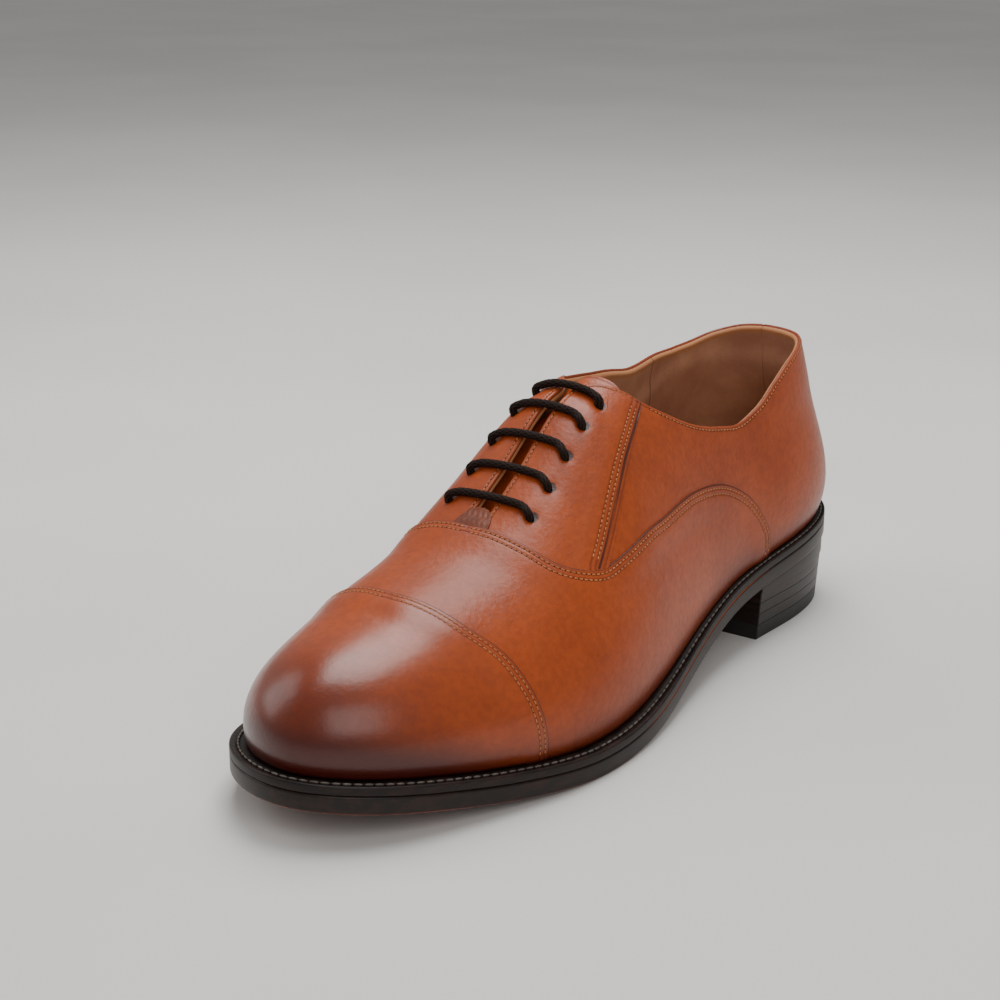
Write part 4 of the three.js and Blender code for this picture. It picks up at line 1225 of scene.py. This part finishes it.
def outsole_leather():
    """Red-brown glossy tread with a stitch channel, and a near-black painted edge."""
    look = Look("sole_leather", Coat_Roughness=0.14, Specular_IOR_Level=0.3)
    edge, drop = look.attributes("edge", "drop")
    x, y, z = look.place()
    cloud, fibre = look.noise(30, 5), look.noise(300, 5, 0.65, (1, 0.22, 1))
    tread = look.tint(cloud.between(0.35, 0.65), "7a3014", "571c0b")
    tread = look.tint(edge.between(5.8, 9.0) * 0.5, tread, "441608")
    tread = look.tint(edge.near(6.6, 1.5), tread, "150703")
    tread = look.tint(fibre.between(0.5, 0.75) * 0.3, tread, "a04c22")
    side = look.tint(fibre.between(0.4, 0.7), "150c08", "2c1810")
    # bright orange line along the outsole's top arris under the waist, on the camera's side only:
    # painted highlight
    painted_waist_glint = y.between(-0.035, -0.01) * y.between(0.085, 0.05) * x.between(0.0, 0.01)
    side = look.tint(drop.near(3.35, 0.5) * painted_waist_glint, side, "b4551c")
    under = drop.between(8.35, 9.0)
    return look.finish(
        look.tint(under, side, tread), 0.36 - under * 0.08 + fibre * 0.12,
        fibre - edge.near(6.6, 1.2) * under * 5, 0.05, 0.05 + under * 0.5,
    )


def stack_leather():
    look = Look("stack", Coat_Roughness=0.25, Specular_IOR_Level=0.3)
    lines, wear = look.noise(700, 4, 0.6, (0.1, 0.1, 2.0)), look.noise(70, 4)
    base = look.tint(lines.between(0.35, 0.7), "120a07", "2b1810")
    base = look.tint(wear.between(0.6, 0.8) * 0.3, base, "40251a")
    return look.finish(base, 0.36 + lines * 0.2, lines, 0.07, 0.08 + wear * 0.12)


def lace_yarn():
    look = Look("lace_cord", Specular_IOR_Level=0.2)
    strand, fleck = look.attributes("strand", "fleck")
    fibre = look.noise(2600, 3)
    # the cord is darker in the grooves between strands: painted shade
    base = look.tint(strand.between(-0.2, 0.9), "070403", "2c1a12")
    base = look.tint((fleck * 0.5 + fibre * 0.6).between(0.35, 0.9) * 0.4, base, "4a2f20")
    return look.finish(base, 0.7 + fibre * 0.2, fibre, 0.05)


def lining_leather():
    """Pale lining, tanned like the upper along its edge, with a seam across."""
    look = Look("lining")
    cloud, fine, rim_d = look.noise(34, 5), look.noise(900, 4), look.attributes("rim")[0]
    seam_line = look.place()[1].near(0.088, 0.0012)
    base = look.tint(cloud.between(0.3, 0.7), "c08a66", "a46e52")
    base = look.tint(rim_d.between(2.6, 0.8) * 0.75, base, "b0703f")
    base = look.tint(seam_line * 0.7, base, "3a2012")
    relief = fine + look.cells(900) * 0.5 - seam_line * 4
    return look.finish(base, 0.62 + fine * 0.2, relief, 0.06)


TAN = ("ad4b1c", "983f15", "48140a")
tan_calf = calf("tan_calf", *TAN)
cap_calf = calf("tan_calf_polished", *TAN, gloss=0.28, coat=0.3, grain=0.055)
tab_calf = calf("tan_dark", "8a4524", "6b2f16", "34130a", gloss=0.45, coat=0.05, grain=0.12)
edge_black = edge_leather()
sole_calf = outsole_leather()
stack = stack_leather()
lining_calf = lining_leather()
lace_braid = lace_yarn()
top_rubber = simple("top_rubber", "0d0b0a", "1c1816", 0.55, 900, 0.05)
thread_tan = simple("stitch_thread", "c07c45", "9c5a2a", 0.55, 3000, 0.03)
thread_grey = simple("welt_thread", "6f675f", "433c36", 0.6, 3000, 0.03)
# dark dots at the needle holes: painted shade of the holes
needle_hole_shade = simple("needle_hole", "1c0903", "2c1007", 0.9, 2000, 0.01, shine=0.05)
insole_leather = simple("insole", "a97545", "8f5f37", 0.7, 500, 0.06)
sock_leather = simple("sock_leather", "7d4c2b", "63381f", 0.5, 700, 0.05, coat=0.1)
cork = simple("cork", "8a6038", "5a3a20", 0.9, 260, 0.3)
steel = simple("spring_steel", "9a9fa4", "7d8288", 0.3, 300, 0.01, metallic=1.0)
fabric_board = simple("stiffener", "cdbf9f", "b3a27e", 0.85, 800, 0.05)
tip_plastic = simple("lace_tip", "2c1c14", "1c110c", 0.25, 300, 0.01, coat=0.5)


def dress(obj, material):
    obj.data.materials.clear()
    obj.data.materials.append(material)


def put_in(obj, material, node):
    """Let a piece stand for its CAD node."""
    dress(obj, material)
    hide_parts(node)


# ---- Build ----
put_in(toe_cap(), cap_calf, "toe_cap")
put_in(vamp(), tan_calf, "vamp")
for side, word in ((OUTER, "lateral"), (INNER, "medial")):
    put_in(quarter(side), tan_calf, "quarter_" + word)
    put_in(facing(side), tan_calf, "facing_" + word)
    put_in(quarter_lining(side), lining_calf, "quarter_lining_" + word)
put_in(throat_tab(), tab_calf, "throat_tab")
put_in(tongue("tongue_calf", 0, TONGUE_IN, TONGUE_LEATHER), tan_calf, "tongue")
low = TONGUE_IN - GAP - TONGUE_LINING
inner_tongue = tongue("tongue_lining_calf", 1.5, low, TONGUE_LINING)
put_in(inner_tongue, lining_calf, "tongue_lining")
put_in(outsole(), sole_calf, "outsole")
top_piece, *lifts, wedge = heel_layers()
put_in(top_piece, top_rubber, "top_piece")
for k, layer in enumerate(lifts):
    put_in(layer, stack, f"heel_lift_{k + 1}")
put_in(wedge, stack, "heel_wedge")
welt_piece, *welt_row = welt()
put_in(welt_piece, edge_black, "welt")
put_in(lace(LACE_R), lace_braid, "lace")

STITCH_TREE, STITCH_INPUTS = stitch_tree()
for name, row, length, thick, pitch, thread, slot in (
    ("upper_stitching", upper_rows(), 1.45, 0.5, STITCH_PITCH, thread_tan, "tan_calf"),
    ("welt_stitching", welt_row, 2.9, 0.8, WELT_PITCH, thread_grey, "edge_black"),
):
    sizes = {"Stitch Length": length, "Thread Thickness": thick, "Needle Hole": 0.8,
             "Hole Offset": pitch / 2}
    stitched(name, row, sizes, thread)

for node_name, material in {
    "vamp_lining": lining_calf, "toe_puff": fabric_board, "heel_counter": fabric_board,
    "insole": insole_leather, "sock": sock_leather, "cork_filler": cork, "shank": steel,
    "aglet_medial": tip_plastic, "aglet_lateral": tip_plastic,
}.items():
    dress(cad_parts[node_name], material)

# ---- Studio ----
floor_look = Look("studio_floor")
speck = floor_look.noise(4, 2, 0.5)
paint = floor_look.tint(speck.between(0.3, 0.7), "dcdad6", "e2e0dc")
feed(floor_look.tree, floor_look.shader.inputs["Base Color"], paint)
feed(floor_look.tree, floor_look.shader.inputs["Roughness"], 0.75 + speck * 0.1)
floor_mesh = bpy.data.meshes.new("studio_floor")
floor_mesh.from_pydata([(-9, -9, 0), (9, -9, 0), (9, 9, 0), (-9, 9, 0)], [], [(0, 1, 2, 3)])
floor_mesh.materials.append(floor_look.material)
floor = new_object("studio_floor", floor_mesh)


def lamp(name, place, aim, size, power):
    data = bpy.data.lights.new(name, "AREA")
    data.shape = "RECTANGLE"
    data.size, data.size_y = size
    data.energy = power
    obj = new_object(name, data)
    obj.location = place
    obj.rotation_euler = (Vector(aim) - Vector(place)).to_track_quat("-Z", "Y").to_euler()


lamp("overhead_softbox", (-0.14, 0.28, 1.05), (0, 0, 0.03), (0.6, 0.9), 12)
lamp("front_softbox", (0.9, -0.7, 0.9), (0, 0, 0.05), (0.9, 0.9), 6)
lamp("side_softbox", (-0.95, -0.35, 0.6), (0, 0, 0.05), (0.6, 0.8), 3)
world = bpy.data.worlds.new("studio_air")
bpy.context.scene.world = world
world.use_nodes = True
air = world.node_tree.nodes["Background"].inputs
air["Color"].default_value = (1, 1, 1, 1)
air["Strength"].default_value = 0.32

azimuth, elevation, away = math.radians(35.75), math.radians(18.08), 0.72188
target = Vector((-0.0363, 0.01255, 0.0562))
level = math.cos(elevation)
back = Vector((math.sin(azimuth) * level, -math.cos(azimuth) * level, math.sin(elevation)))
view = bpy.data.cameras.new("studio_camera")
view.lens = 73.25
view.sensor_width = 36
camera = new_object("studio_camera", view)
camera.location = target + back * away
camera.rotation_euler = (-back).to_track_quat("-Z", "Y").to_euler()
bpy.context.scene.camera = camera
